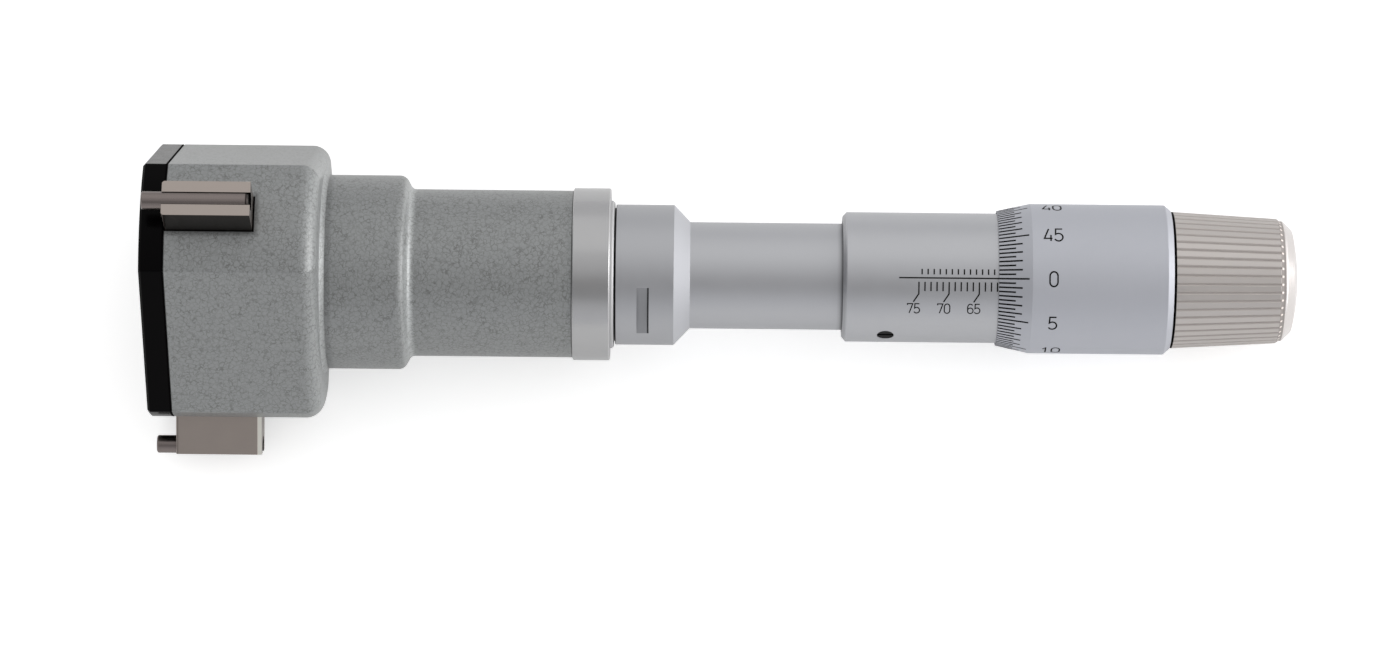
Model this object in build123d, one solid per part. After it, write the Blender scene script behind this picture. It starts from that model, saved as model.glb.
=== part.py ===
# Three-point inside micrometer, lying along X. Sizes in millimetres.
#
# The origin is on the instrument's axis, at the front face of the cover.
# +X runs back to the ratchet knob and +Z is up: one jaw points straight up,
# and the head rests on the flat that lies between the other two.
#
# Turning the thimble screws the spindle forward. A ball passes its push to a
# rod and a cone, and the cone spreads three jaws that slide in radial slots.
# The solids show the closed reading, with every jaw drawn in.

import os
from math import atan2, degrees, hypot, radians, tan

from build123d import *

# Measuring range
CLOSED_DIAMETER = 62.0
OPEN_DIAMETER = 75.0
JAW_RISE = 0.5            # jaw travel for each millimetre of cone travel
JAW_ANGLES = {"top": 0, "near": 120, "far": 240}  # turn about X from straight up

# Clearances
RUNNING = 0.05            # radius, between pieces that slide or turn
SEATED = 0.01             # radius, between pieces that are pressed or screwed
CONE_GAP = 0.1            # between the cone and the jaw feet
END_GAP = 0.5             # past the end of a travel
FACE_GAP = 0.05           # between end faces that rub

# Head and cover
HEAD_RADIUS = 24.48
HEAD_FLAT = 19.55         # from the axis to each of the three flats
HEAD_CORNER = 0.6         # rounding between a flat and the round
HEAD_LENGTH = 24.93
HEAD_BACK_ROUND = 3.0
COVER_THICKNESS = 4.07
COVER_BEVEL = 0.4
SEAM_BEVEL = 0.12
COVER_SCREW_CIRCLE = 15.8
COVER_SCREW_RADIUS = 1.5
COVER_SCREW_HEAD = 2.8
COVER_SCREW_DEPTH = 6.0   # of thread in the head
COVER_SCREW_SUNK = 0.2
COVER_SCREW_RIM = 0.3     # straight part of the head, ahead of its cone
HEX_RADIUS = 1.15
HEX_DEPTH = 1.0

# Boss and neck behind the head
BOSS_RADIUS = 16.2
BOSS_LENGTH = 13.36
BOSS_FOOT_ROUND = 0.8
SHOULDER_LENGTH = 1.18
SHOULDER_ROUND = 1.6
SHOULDER_FOOT_ROUND = 1.1
NECK_RADIUS = 13.95
NECK_LENGTH = 26.96

# Lock ring
RING_RADIUS = 14.4
RING_LENGTH = 6.2
RING_BEVEL = 0.15
LIP_RADIUS = 12.35
LIP_LENGTH = 0.65
LIP_BEVEL = 0.3
JOINT_WIDTH = 0.25        # dark groove between the ring and the collar
JOINT_DEPTH = 0.6

# Body tube
SPIGOT_RADIUS = 9.0
SPIGOT_LENGTH = 21.5
COLLAR_RADIUS = 11.72
COLLAR_LENGTH = 9.7
COLLAR_BEVEL = 0.12
COLLAR_TAPER = 2.7
SPANNER_FLAT_WIDTH = 2.0
SPANNER_FLAT_DEPTH = 0.93
SPANNER_FLAT_BACK = 4.6   # from the collar's front to the flat's middle
SPANNER_FLAT_ANGLE = 55.8 # turn about X from straight up
TUBE_RADIUS = 8.9
TUBE_LENGTH = 25.4
TUBE_BORE = 5.5
SLEEVE_SEAT = 9.28

# Graduated sleeve
SLEEVE_RADIUS = 10.835
SLEEVE_SHOWN = 25.75      # ahead of the thimble at the closed reading
SLEEVE_COVERED = 9.85
SLEEVE_EDGE = 10.1
SLEEVE_BEVEL = 0.65
SET_SCREW_BACK = 7.2
SET_SCREW_ANGLE = 85.4
SET_SCREW_RADIUS = 1.4
SET_SCREW_LENGTH = 3.7
SET_SCREW_SUNK = 0.12
SLOT_WIDTH = 0.5
SLOT_DEPTH = 0.7

# Jaws, carbide pins and return springs
JAW_WIDTH = 6.0
JAW_LENGTH = 14.4
JAW_TOP_DROP = 0.3        # from the pin's crest down to the rails
JAW_FRONT_ROUND = 0.5
JAW_BACK_BEVEL = 0.75
JAW_BACK_GAP = 0.25
JAW_SIDE_GAP = 0.12
FOOT_BEARING = 8.5        # of the foot on the cone at the closed reading
FOOT_WALL = 3.65          # over the foot's slope, at its back end
PIN_RADIUS = 1.5
PIN_OVERHANG = 3.3        # ahead of the head's front
PIN_BACK_GAP = 0.35
PIN_BEVEL = 0.2
RELIEF_WIDTH = 2.2        # of the groove's upright mouth, beside the pin
RELIEF_DEPTH = 0.3
POCKET_RADIUS = 2.2
POCKET_WALL = 1.2         # left under and behind the spring's pocket
SPRING_RADIUS = 1.8
SPRING_WIRE = 0.4
SPRING_TURNS = 6

# Cone, push rod and ball
CONE_TIP_RADIUS = 2.0
CONE_TIP_GAP = 0.43       # to the cover at the open reading
CONE_LENGTH = 20.0
PISTON_LENGTH = 8.0
ROD_RADIUS = 4.0
ROD_SOCKET = 8.5
ROD_BUSH_LENGTH = 8.0
FRONT_BUSH_RADIUS = 7.0
BALL_RADIUS = 2.0

# Spindle and its nut
SPINDLE_NOSE = 15.0
NOSE_RADIUS = 4.0
THREAD_RADIUS = 4.5
NUT_RADIUS = 7.0
NUT_LENGTH = 25.0
NUT_SHOWN = 8.0           # behind the body tube
ADJUSTER_RADIUS = 8.9
ADJUSTER_LENGTH = 5.0
ADJUSTER_BACK = 2.0
ADJUSTER_NOTCH = 1.2
NUT_SLIT = 0.5
TAPER_FRONT = 4.2
TAPER_BACK = 3.6

# Thimble
THIMBLE_RADIUS = 12.5
THIMBLE_EDGE = 11.25
THIMBLE_BEVEL = 5.5
THIMBLE_BORE = 11.0
THIMBLE_WEB = 5.65
THIMBLE_BACK_EDGE = 11.6
THIMBLE_BACK_BEVEL = 1.0
THIMBLE_BACK_ROUND = 0.3

# Ratchet
HUB_RADIUS = 7.95
HUB_LENGTH = 3.6
TOOTH_COUNT = 24
TOOTH_HEIGHT = 0.45
TOOTH_ROOT = 5.0          # radius where the teeth begin
TOOTH_REACH = 12.0        # radius past the ring, where their cutter ends
PAWL_LENGTH = 3.4
LUG_WIDTH = 2.5
LUG_RISE = 0.9
JOURNAL_RADIUS = 3.5
STUD_RADIUS = 2.5
STUD_LENGTH = 14.0
KNOB_GAP = 0.33
KNOB_FRONT = 11.42
KNOB_BACK = 10.42
KNOB_TAPER = 17.4         # length of the grip
KNOB_BEVEL = 0.55         # behind it, where the grooves run out
KNOB_RIM = 10.05
KNOB_RIM_LENGTH = 0.3
KNURL_COUNT = 48
KNURL_PHASE = 3.2         # turn about X from straight up to the first groove
KNURL_DEPTH = 0.18
KNURL_HALF_WIDTH = 0.3
KNURL_REACH = 1.0         # of their cutter, past the surface and the end
FLANGE_FRONT = 13.3       # from the knob's front to its inner flange
FLANGE_THICKNESS = 2.0
SCREW_HEAD_RADIUS = 5.5
SCREW_HEAD_LENGTH = 1.6
SCREW_ROOM = 1.0          # around the screw's head
WASHER_THICKNESS = 0.4
RATCHET_SPRING_RADIUS = 5.6
RATCHET_SPRING_WIRE = 0.8
RATCHET_SPRING_TURNS = 3
CAP_SPIGOT = 7.6
CAP_SPIGOT_LENGTH = 0.7
CAP_EDGE = 0.22           # straight part, flush with the knob's rim
CAP_SHOULDER = 8.62
CAP_SHOULDER_BACK = 1.67
CAP_ROUND = 0.4
CAP_DOME = 1.08

# Travels
jaw_travel = (OPEN_DIAMETER - CLOSED_DIAMETER) / 2
cone_travel = jaw_travel / JAW_RISE

# Stations along X, from the cover back
head_front = COVER_THICKNESS
head_back = head_front + HEAD_LENGTH
boss_back = head_back + BOSS_LENGTH
neck_front = boss_back + SHOULDER_LENGTH
neck_back = neck_front + NECK_LENGTH
ring_back = neck_back + RING_LENGTH
lip_back = ring_back + LIP_LENGTH
collar_front = lip_back + JOINT_WIDTH
collar_back = collar_front + COLLAR_LENGTH
tube_front = collar_back + COLLAR_TAPER
sleeve_front = tube_front + TUBE_LENGTH
thimble_front = sleeve_front + SLEEVE_SHOWN
sleeve_back = thimble_front + SLEEVE_COVERED
web_front = sleeve_back + cone_travel + END_GAP
thimble_back = web_front + THIMBLE_WEB

# Stations of the jaws and the cone
jaw_front = head_front + FACE_GAP
jaw_back = jaw_front + JAW_LENGTH
slot_back = jaw_back + JAW_BACK_GAP
pocket_middle = slot_back + POCKET_RADIUS
cone_tip = head_front + CONE_TIP_GAP + cone_travel
foot_back = max(cone_tip + FOOT_BEARING, pocket_middle + POCKET_RADIUS + POCKET_WALL)
foot_slot_back = foot_back + END_GAP
cone_base = cone_tip + CONE_LENGTH
piston_back = cone_base + PISTON_LENGTH
cone_bore_back = piston_back + END_GAP
spigot_front = collar_front - SPIGOT_LENGTH

# Stations of the spindle train
nut_front = sleeve_back - NUT_LENGTH
tube_back = sleeve_back - NUT_SHOWN
spindle_front = nut_front - SPINDLE_NOSE
ball_middle = spindle_front - BALL_RADIUS / 2
rod_back = ball_middle - BALL_RADIUS / 2
rear_bush_back = rod_back - cone_travel - 2 * BALL_RADIUS
front_bush_back = spigot_front + ROD_BUSH_LENGTH

# Stations of the ratchet
hub_front = thimble_back + FACE_GAP
hub_back = hub_front + HUB_LENGTH
pawl_front = hub_back + FACE_GAP
pawl_back = pawl_front + PAWL_LENGTH
knob_front = thimble_back + KNOB_GAP
grip_back = knob_front + KNOB_TAPER
rim_front = grip_back + KNOB_BEVEL
knob_back = rim_front + KNOB_RIM_LENGTH
flange_front = knob_front + FLANGE_FRONT
flange_back = flange_front + FLANGE_THICKNESS
washer_front = flange_back + FACE_GAP
screw_head_front = washer_front + WASHER_THICKNESS
screw_head_back = screw_head_front + SCREW_HEAD_LENGTH
cap_seat = knob_back - CAP_SPIGOT_LENGTH

# Radii that follow from others
pin_centre = CLOSED_DIAMETER / 2 - PIN_RADIUS
jaw_top = CLOSED_DIAMETER / 2 - JAW_TOP_DROP
cone_base_radius = CONE_TIP_RADIUS + JAW_RISE * CONE_LENGTH
cone_bore = cone_base_radius + RUNNING
foot_gap = CONE_GAP * hypot(1, JAW_RISE)
ratchet_bore = HUB_RADIUS + RUNNING
cover_screw_cone = COVER_SCREW_HEAD - COVER_SCREW_RADIUS


def foot_face(x):
    """Height of the jaw's sloping underside over the axis, a gap above the cone."""
    return CONE_TIP_RADIUS + JAW_RISE * (x - cone_tip) + foot_gap


# Heights of the jaw's foot and of the spring's pocket in it
foot_top = foot_face(foot_back) + FOOT_WALL
slot_roof = foot_top + jaw_travel + END_GAP
pocket_floor = foot_face(max(cone_tip, pocket_middle + POCKET_RADIUS)) + POCKET_WALL


def turned(*corners):
    """A solid turned about X. Each corner is (x, radius), with a rounding as an optional third."""
    points = [corner[:2] for corner in corners]
    rounds = [corner[2] if len(corner) > 2 else 0 for corner in corners]
    return revolve(make_face(FilletPolyline(*points, radius=rounds, close=True)), Axis.X)


def tube(front, back, inner, outer):
    """A plain ring about X between two stations."""
    return turned((front, inner), (front, outer), (back, outer), (back, inner))


def rod(front, back, radius):
    """A plain round bar on X between two stations."""
    return turned((front, 0), (front, radius), (back, radius), (back, 0))


def radial_bar(x, low, high, radius):
    """A round bar that points straight up at x, from one height to another."""
    return Pos(x, 0, low) * extrude(Circle(radius), high - low)


def box_between(x, y, z):
    """A box between three pairs of limits."""
    size = [high - low for low, high in (x, y, z)]
    middle = [(high + low) / 2 for low, high in (x, y, z)]
    return Pos(*middle) * Box(*size)


def turn(angle):
    """A turn about X, from straight up towards the near side."""
    return Rot(angle, 0, 0)


def head_outline():
    """The round of the head with its three flats, each opposite a jaw."""
    outline = Circle(HEAD_RADIUS)
    for angle in JAW_ANGLES.values():
        beyond = Pos(0, -HEAD_FLAT - HEAD_RADIUS) * Rectangle(4 * HEAD_RADIUS, 2 * HEAD_RADIUS)
        outline -= Rot(0, 0, angle) * beyond
    return Plane.YZ * fillet(outline.vertices(), HEAD_CORNER)


def face_edges(solid, last):
    """The outer edges of a solid's front or back end face."""
    return solid.faces().sort_by(Axis.X)[-1 if last else 0].outer_wire().edges()


def cover_screw_holes(front, depth, radius):
    """Round holes on the screws' circle, one over each flat."""
    hole = Pos(front, 0, -COVER_SCREW_CIRCLE) * rod(0, depth, radius)
    return [turn(angle) * hole for angle in JAW_ANGLES.values()]


def make_head_body():
    block = Pos(head_front, 0, 0) * extrude(head_outline(), HEAD_LENGTH)
    block = fillet(face_edges(block, True), HEAD_BACK_ROUND)
    block = chamfer(face_edges(block, False), SEAM_BEVEL)
    block += turned(
        (head_back - HEAD_BACK_ROUND, 0),
        (head_back - HEAD_BACK_ROUND, BOSS_RADIUS),
        (boss_back, BOSS_RADIUS, SHOULDER_ROUND),
        (neck_front, NECK_RADIUS, SHOULDER_FOOT_ROUND),
        (neck_back - SEAM_BEVEL, NECK_RADIUS),
        (neck_back, NECK_RADIUS - SEAM_BEVEL),
        (neck_back, 0),
    )
    block += turned(
        (head_back - SEAM_BEVEL, BOSS_RADIUS - SEAM_BEVEL),
        (head_back - SEAM_BEVEL, BOSS_RADIUS + BOSS_FOOT_ROUND),
        (head_back, BOSS_RADIUS + BOSS_FOOT_ROUND),
        (head_back + BOSS_FOOT_ROUND, BOSS_RADIUS),
        (head_back + BOSS_FOOT_ROUND, BOSS_RADIUS - SEAM_BEVEL),
    )
    block -= rod(head_front, cone_bore_back, cone_bore)
    block -= rod(cone_bore_back, neck_back, SPIGOT_RADIUS + SEATED)
    half_slot = JAW_WIDTH / 2 + JAW_SIDE_GAP
    slot = box_between((head_front, slot_back), (-half_slot, half_slot), (0, 2 * HEAD_RADIUS))
    slot += box_between((head_front, foot_slot_back), (-half_slot, half_slot), (0, slot_roof))
    block -= [turn(angle) * slot for angle in JAW_ANGLES.values()]
    block -= cover_screw_holes(head_front, COVER_SCREW_DEPTH + END_GAP, COVER_SCREW_RADIUS + SEATED)
    return block


def make_front_cover():
    plate = extrude(head_outline(), COVER_THICKNESS)
    plate = chamfer(face_edges(plate, False), COVER_BEVEL)
    plate = chamfer(face_edges(plate, True), SEAM_BEVEL)
    plate -= cover_screw_holes(0, COVER_THICKNESS, COVER_SCREW_RADIUS + RUNNING)
    for angle in JAW_ANGLES.values():
        sink = Pos(0, 0, -COVER_SCREW_CIRCLE) * cover_screw_head(RUNNING)
        plate -= turn(angle) * sink
    return plate


def cover_screw_head(extra):
    """The countersunk head about X, or with extra the room for it, open to the front."""
    front = 0 if extra else COVER_SCREW_SUNK
    rim = COVER_SCREW_SUNK + COVER_SCREW_RIM
    return turned(
        (front, 0),
        (front, COVER_SCREW_HEAD + extra),
        (rim, COVER_SCREW_HEAD + extra),
        (rim + cover_screw_cone, COVER_SCREW_RADIUS + extra),
        (rim + cover_screw_cone, 0),
    )


def make_cover_screw(angle):
    screw = cover_screw_head(0) + rod(
        COVER_SCREW_SUNK + cover_screw_cone, head_front + COVER_SCREW_DEPTH, COVER_SCREW_RADIUS
    )
    screw -= Pos(COVER_SCREW_SUNK, 0, 0) * extrude(Plane.YZ * RegularPolygon(HEX_RADIUS, 6), HEX_DEPTH)
    return turn(angle) * Pos(0, 0, -COVER_SCREW_CIRCLE) * screw


def make_lock_ring():
    return turned(
        (neck_back, SPIGOT_RADIUS + SEATED),
        (neck_back, RING_RADIUS - RING_BEVEL),
        (neck_back + RING_BEVEL, RING_RADIUS),
        (ring_back - RING_BEVEL, RING_RADIUS),
        (ring_back, RING_RADIUS - RING_BEVEL),
        (ring_back, LIP_RADIUS),
        (lip_back - LIP_BEVEL, LIP_RADIUS),
        (lip_back, LIP_RADIUS - LIP_BEVEL),
        (lip_back, SPIGOT_RADIUS + SEATED),
    )


def make_body_tube():
    body = turned(
        (spigot_front, 0),
        (spigot_front, SPIGOT_RADIUS),
        (lip_back, SPIGOT_RADIUS),
        (lip_back, COLLAR_RADIUS - JOINT_DEPTH),
        (collar_front, COLLAR_RADIUS - JOINT_DEPTH),
        (collar_front, COLLAR_RADIUS - COLLAR_BEVEL),
        (collar_front + COLLAR_BEVEL, COLLAR_RADIUS),
        (collar_back, COLLAR_RADIUS),
        (tube_front, TUBE_RADIUS),
        (sleeve_front, TUBE_RADIUS),
        (sleeve_front, SLEEVE_SEAT),
        (tube_back, SLEEVE_SEAT),
        (tube_back, 0),
    )
    body -= rod(spigot_front, front_bush_back, FRONT_BUSH_RADIUS + SEATED)
    body -= rod(front_bush_back, nut_front, TUBE_BORE)
    body -= rod(nut_front, tube_back, NUT_RADIUS + SEATED)
    flat_middle = collar_front + SPANNER_FLAT_BACK
    along = (flat_middle - SPANNER_FLAT_WIDTH / 2, flat_middle + SPANNER_FLAT_WIDTH / 2)
    up = (COLLAR_RADIUS - SPANNER_FLAT_DEPTH, 2 * COLLAR_RADIUS)
    flat = box_between(along, (-COLLAR_RADIUS, COLLAR_RADIUS), up)
    body -= [turn(SPANNER_FLAT_ANGLE) * flat, turn(SPANNER_FLAT_ANGLE + 180) * flat]
    return body - set_screw_hole()


def set_screw_hole():
    """The tapped hole that goes through the sleeve and the body tube's wall."""
    hole = radial_bar(sleeve_front + SET_SCREW_BACK, 0, 2 * SLEEVE_RADIUS, SET_SCREW_RADIUS + SEATED)
    return turn(SET_SCREW_ANGLE) * hole


def make_graduated_sleeve():
    sleeve = turned(
        (sleeve_front, SLEEVE_SEAT + SEATED),
        (sleeve_front, SLEEVE_EDGE),
        (sleeve_front + SLEEVE_BEVEL, SLEEVE_RADIUS),
        (sleeve_back, SLEEVE_RADIUS),
        (sleeve_back, SLEEVE_SEAT + SEATED),
    )
    return sleeve - set_screw_hole()


def make_set_screw():
    top = SLEEVE_RADIUS - SET_SCREW_SUNK
    x = sleeve_front + SET_SCREW_BACK
    screw = radial_bar(x, top - SET_SCREW_LENGTH, top, SET_SCREW_RADIUS)
    half = SLOT_WIDTH / 2
    reach = 2 * SET_SCREW_RADIUS
    screw -= box_between((x - reach, x + reach), (-half, half), (top - SLOT_DEPTH, top))
    return turn(SET_SCREW_ANGLE) * screw


def make_jaw(angle):
    side = Plane.XZ * make_face(Polyline(
        (jaw_front, foot_face(cone_tip)),
        (cone_tip, foot_face(cone_tip)),
        (foot_back, foot_face(foot_back)),
        (foot_back, foot_top),
        (jaw_back, foot_top),
        (jaw_back, jaw_top),
        (jaw_front, jaw_top),
        close=True,
    ))
    jaw = extrude(side, JAW_WIDTH / 2, both=True)
    uprights = jaw.edges().filter_by(Axis.Z).group_by(Axis.X)
    jaw = chamfer(uprights[1], JAW_BACK_BEVEL)
    jaw = fillet(uprights[0], JAW_FRONT_ROUND)
    groove = Pos(0, 0, pin_centre) * rod(jaw_front, jaw_back, PIN_RADIUS + SEATED)
    half = RELIEF_WIDTH / 2
    groove += box_between((jaw_front, jaw_back), (-half, half), (jaw_top - RELIEF_DEPTH, jaw_top))
    pocket = radial_bar(pocket_middle, pocket_floor, foot_top, POCKET_RADIUS)
    return turn(angle) * (jaw - groove - pocket)


def make_carbide_pin(angle):
    front = head_front - PIN_OVERHANG
    back = jaw_back - PIN_BACK_GAP
    pin = turned(
        (front, 0),
        (front, PIN_RADIUS - PIN_BEVEL),
        (front + PIN_BEVEL, PIN_RADIUS),
        (back - PIN_BEVEL, PIN_RADIUS),
        (back, PIN_RADIUS - PIN_BEVEL),
        (back, 0),
    )
    return turn(angle) * Pos(0, 0, pin_centre) * pin


def coil(length, radius, wire, turns):
    """A spring of square wire that stands on the origin, with open ends."""
    height = length - wire
    path = Helix(height / turns, height, radius, center=(0, 0, wire / 2))
    section = Plane(path @ 0, z_dir=path % 0) * Rectangle(wire, wire)
    return sweep(section, path=path, is_frenet=True)


def make_jaw_spring(angle):
    length = slot_roof - pocket_floor - 2 * FACE_GAP
    spring = coil(length, SPRING_RADIUS, SPRING_WIRE, SPRING_TURNS)
    return turn(angle) * Pos(pocket_middle, 0, pocket_floor + FACE_GAP) * spring


def make_measuring_cone():
    cone = turned(
        (cone_tip, 0),
        (cone_tip, CONE_TIP_RADIUS),
        (cone_base, cone_base_radius),
        (piston_back, cone_base_radius),
        (piston_back, 0),
    )
    return cone - rod(piston_back - ROD_SOCKET, piston_back, ROD_RADIUS + SEATED)


def make_push_rod():
    bar = rod(piston_back - ROD_SOCKET, rod_back, ROD_RADIUS)
    return bar - ball_room(SEATED)


def ball_room(gap):
    """The thrust ball, or with a gap the room for it, turned about X."""
    radius = BALL_RADIUS + gap
    front = (ball_middle - radius, 0)
    back = (ball_middle + radius, 0)
    arc = ThreePointArc(front, (ball_middle, radius), back)
    return revolve(make_face(arc + Line(back, front)), Axis.X)


def make_thrust_ball():
    return ball_room(0)


def make_front_rod_bush():
    return tube(spigot_front, front_bush_back, ROD_RADIUS + RUNNING, FRONT_BUSH_RADIUS)


def make_rear_rod_bush():
    front = rear_bush_back - ROD_BUSH_LENGTH
    return tube(front, rear_bush_back, ROD_RADIUS + RUNNING, TUBE_BORE - SEATED)


def make_spindle():
    spindle = turned(
        (spindle_front, 0),
        (spindle_front, NOSE_RADIUS),
        (nut_front, NOSE_RADIUS),
        (nut_front, THREAD_RADIUS),
        (web_front, THREAD_RADIUS),
        (web_front, TAPER_FRONT),
        (thimble_back, TAPER_BACK),
        (thimble_back, 0),
    )
    spindle -= ball_room(RUNNING)
    return spindle - rod(thimble_back - STUD_LENGTH - END_GAP, thimble_back, STUD_RADIUS + SEATED)


def make_spindle_nut():
    nut = tube(nut_front, sleeve_back, THREAD_RADIUS + RUNNING, NUT_RADIUS)
    half = NUT_SLIT / 2
    slit = box_between((tube_back + half, sleeve_back), (-half, half), (0, 2 * NUT_RADIUS))
    return nut - [turn(angle) * slit for angle in JAW_ANGLES.values()]


def make_adjusting_nut():
    back = sleeve_back - ADJUSTER_BACK
    ring = tube(back - ADJUSTER_LENGTH, back, NUT_RADIUS + SEATED, ADJUSTER_RADIUS)
    half = ADJUSTER_NOTCH / 2
    notch = box_between(
        (back - ADJUSTER_NOTCH, back), (-half, half), (NUT_RADIUS, 2 * ADJUSTER_RADIUS)
    )
    return ring - [turn(angle) * notch for angle in (0, 90, 180, 270)]


def make_thimble():
    shell = turned(
        (thimble_front, THIMBLE_BORE),
        (thimble_front, THIMBLE_EDGE),
        (thimble_front + THIMBLE_BEVEL, THIMBLE_RADIUS),
        (thimble_back - THIMBLE_BACK_BEVEL, THIMBLE_RADIUS, THIMBLE_BACK_ROUND),
        (thimble_back, THIMBLE_BACK_EDGE),
        (thimble_back, TAPER_BACK + SEATED),
        (web_front, TAPER_FRONT + SEATED),
        (web_front, THIMBLE_BORE),
    )
    return shell


def face_teeth(face, back, count):
    """Saw teeth cut into a ring's face that looks along X, as wedges about the axis."""
    bottom = face + (-TOOTH_HEIGHT if back else TOOTH_HEIGHT)
    sections = []
    for radius in (TOOTH_ROOT, TOOTH_REACH):
        width = radius * tan(radians(360 / count))
        corners = Polyline((face, 0), (face, width), (bottom, 0), close=True)
        sections.append(Plane.XY.offset(radius) * make_face(corners))
    wedge = loft(sections)
    return [turn(360 * i / count) * wedge for i in range(count)]


def make_ratchet_hub():
    hub = tube(hub_front, hub_back, STUD_RADIUS + SEATED, HUB_RADIUS)
    return hub - face_teeth(hub_back, True, TOOTH_COUNT)


def make_pawl_ring():
    ring = tube(pawl_front, pawl_back, JOURNAL_RADIUS + RUNNING, HUB_RADIUS)
    ring -= face_teeth(pawl_front, False, TOOTH_COUNT)
    lug_front = pawl_front + TOOTH_HEIGHT
    half = LUG_WIDTH / 2
    lug = box_between(
        (lug_front, pawl_back), (-half, half), (HUB_RADIUS - LUG_RISE, HUB_RADIUS + LUG_RISE)
    )
    return ring + [turn(90) * lug, turn(270) * lug]


def make_ratchet_spring():
    length = flange_front - pawl_back - 2 * FACE_GAP
    spring = coil(length, RATCHET_SPRING_RADIUS, RATCHET_SPRING_WIRE, RATCHET_SPRING_TURNS)
    return Pos(pawl_back + FACE_GAP, 0, 0) * Rot(0, 90, 0) * spring


def make_ratchet_screw():
    screw = turned(
        (thimble_back - STUD_LENGTH, 0),
        (thimble_back - STUD_LENGTH, STUD_RADIUS),
        (hub_back, STUD_RADIUS),
        (hub_back, JOURNAL_RADIUS),
        (screw_head_front, JOURNAL_RADIUS),
        (screw_head_front, SCREW_HEAD_RADIUS),
        (screw_head_back, SCREW_HEAD_RADIUS),
        (screw_head_back, 0),
    )
    half = SLOT_WIDTH
    slot = (screw_head_back - SLOT_DEPTH, screw_head_back)
    return screw - box_between(slot, (-half, half), (-SCREW_HEAD_RADIUS, SCREW_HEAD_RADIUS))


def make_ratchet_washer():
    return tube(washer_front, screw_head_front, JOURNAL_RADIUS + RUNNING, SCREW_HEAD_RADIUS)


def knurl_grooves():
    """Bars of three-cornered section along the knob's taper, which run out through its bevel."""
    fall = degrees(atan2(KNOB_FRONT - KNOB_BACK, KNOB_TAPER))
    outside = KNURL_HALF_WIDTH * (KNURL_DEPTH + KNURL_REACH) / KNURL_DEPTH
    section = make_face(Polyline(
        (0, -KNURL_DEPTH), (outside, KNURL_REACH), (-outside, KNURL_REACH), close=True
    ))
    bar = extrude(Plane.YZ * section, rim_front - knob_front + KNURL_REACH)
    bar = Pos(knob_front, 0, KNOB_FRONT) * Rot(0, fall, 0) * Pos(-KNURL_REACH, 0, 0) * bar
    return [turn(KNURL_PHASE + 360 * i / KNURL_COUNT) * bar for i in range(KNURL_COUNT)]


def make_ratchet_knob():
    knob = turned(
        (knob_front, ratchet_bore),
        (knob_front, KNOB_FRONT),
        (grip_back, KNOB_BACK),
        (rim_front, KNOB_RIM),
        (knob_back, KNOB_RIM),
        (knob_back, CAP_SPIGOT + SEATED),
        (cap_seat, CAP_SPIGOT + SEATED),
        (cap_seat, SCREW_HEAD_RADIUS + SCREW_ROOM),
        (flange_back, SCREW_HEAD_RADIUS + SCREW_ROOM),
        (flange_back, JOURNAL_RADIUS + RUNNING),
        (flange_front, JOURNAL_RADIUS + RUNNING),
        (flange_front, ratchet_bore),
    )
    half = LUG_WIDTH / 2 + SEATED
    keyway = box_between((knob_front, pawl_back), (-half, half), (0, HUB_RADIUS + LUG_RISE + SEATED))
    knob -= [turn(90) * keyway, turn(270) * keyway]
    return knob - knurl_grooves()


def make_end_cap():
    shoulder = knob_back + CAP_SHOULDER_BACK
    crown = shoulder + CAP_DOME
    edge = Polyline(
        (crown, 0),
        (cap_seat + FACE_GAP, 0),
        (cap_seat + FACE_GAP, CAP_SPIGOT),
        (knob_back, CAP_SPIGOT),
        (knob_back, KNOB_RIM),
        (knob_back + CAP_EDGE, KNOB_RIM),
        (shoulder, CAP_SHOULDER),
    )
    dome = TangentArc((crown, 0), (shoulder, CAP_SHOULDER), tangent=(0, 1))
    cap = revolve(make_face(edge + dome), Axis.X)
    bevel = cap.faces().filter_by(GeomType.CONE)
    return fillet(bevel.edges().filter_by(GeomType.CIRCLE), CAP_ROUND)


parts = {
    "head_body": make_head_body(),
    "front_cover": make_front_cover(),
    "lock_ring": make_lock_ring(),
    "body_tube": make_body_tube(),
    "graduated_sleeve": make_graduated_sleeve(),
    "sleeve_set_screw": make_set_screw(),
    "front_rod_bush": make_front_rod_bush(),
    "rear_rod_bush": make_rear_rod_bush(),
    "spindle_nut": make_spindle_nut(),
    "adjusting_nut": make_adjusting_nut(),
    "measuring_cone": make_measuring_cone(),
    "push_rod": make_push_rod(),
    "thrust_ball": make_thrust_ball(),
    "spindle": make_spindle(),
    "thimble": make_thimble(),
    "ratchet_hub": make_ratchet_hub(),
    "ratchet_screw": make_ratchet_screw(),
    "ratchet_washer": make_ratchet_washer(),
    "pawl_ring": make_pawl_ring(),
    "ratchet_spring": make_ratchet_spring(),
    "ratchet_knob": make_ratchet_knob(),
    "end_cap": make_end_cap(),
}
for place, angle in JAW_ANGLES.items():
    parts[f"jaw_{place}"] = make_jaw(angle)
    parts[f"carbide_pin_{place}"] = make_carbide_pin(angle)
    parts[f"jaw_spring_{place}"] = make_jaw_spring(angle)
    parts[f"cover_screw_{place}"] = make_cover_screw(angle)

os.makedirs("parts", exist_ok=True)
for name, solid in parts.items():
    export_step(solid, f"parts/{name}.step")
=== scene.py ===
"""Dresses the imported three-point inside micrometer: its finishes, its scales, and the studio it lies in.

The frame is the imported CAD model, in metres: X along the instrument from the cover back to the ratchet, Z up.
"""

from math import cos, pi, radians, sin

import bpy
import numpy as np
from bpy.props import FloatProperty, FloatVectorProperty, IntProperty, PointerProperty
from bpy.types import Operator, Panel, PropertyGroup
from mathutils import Matrix, Vector


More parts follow.
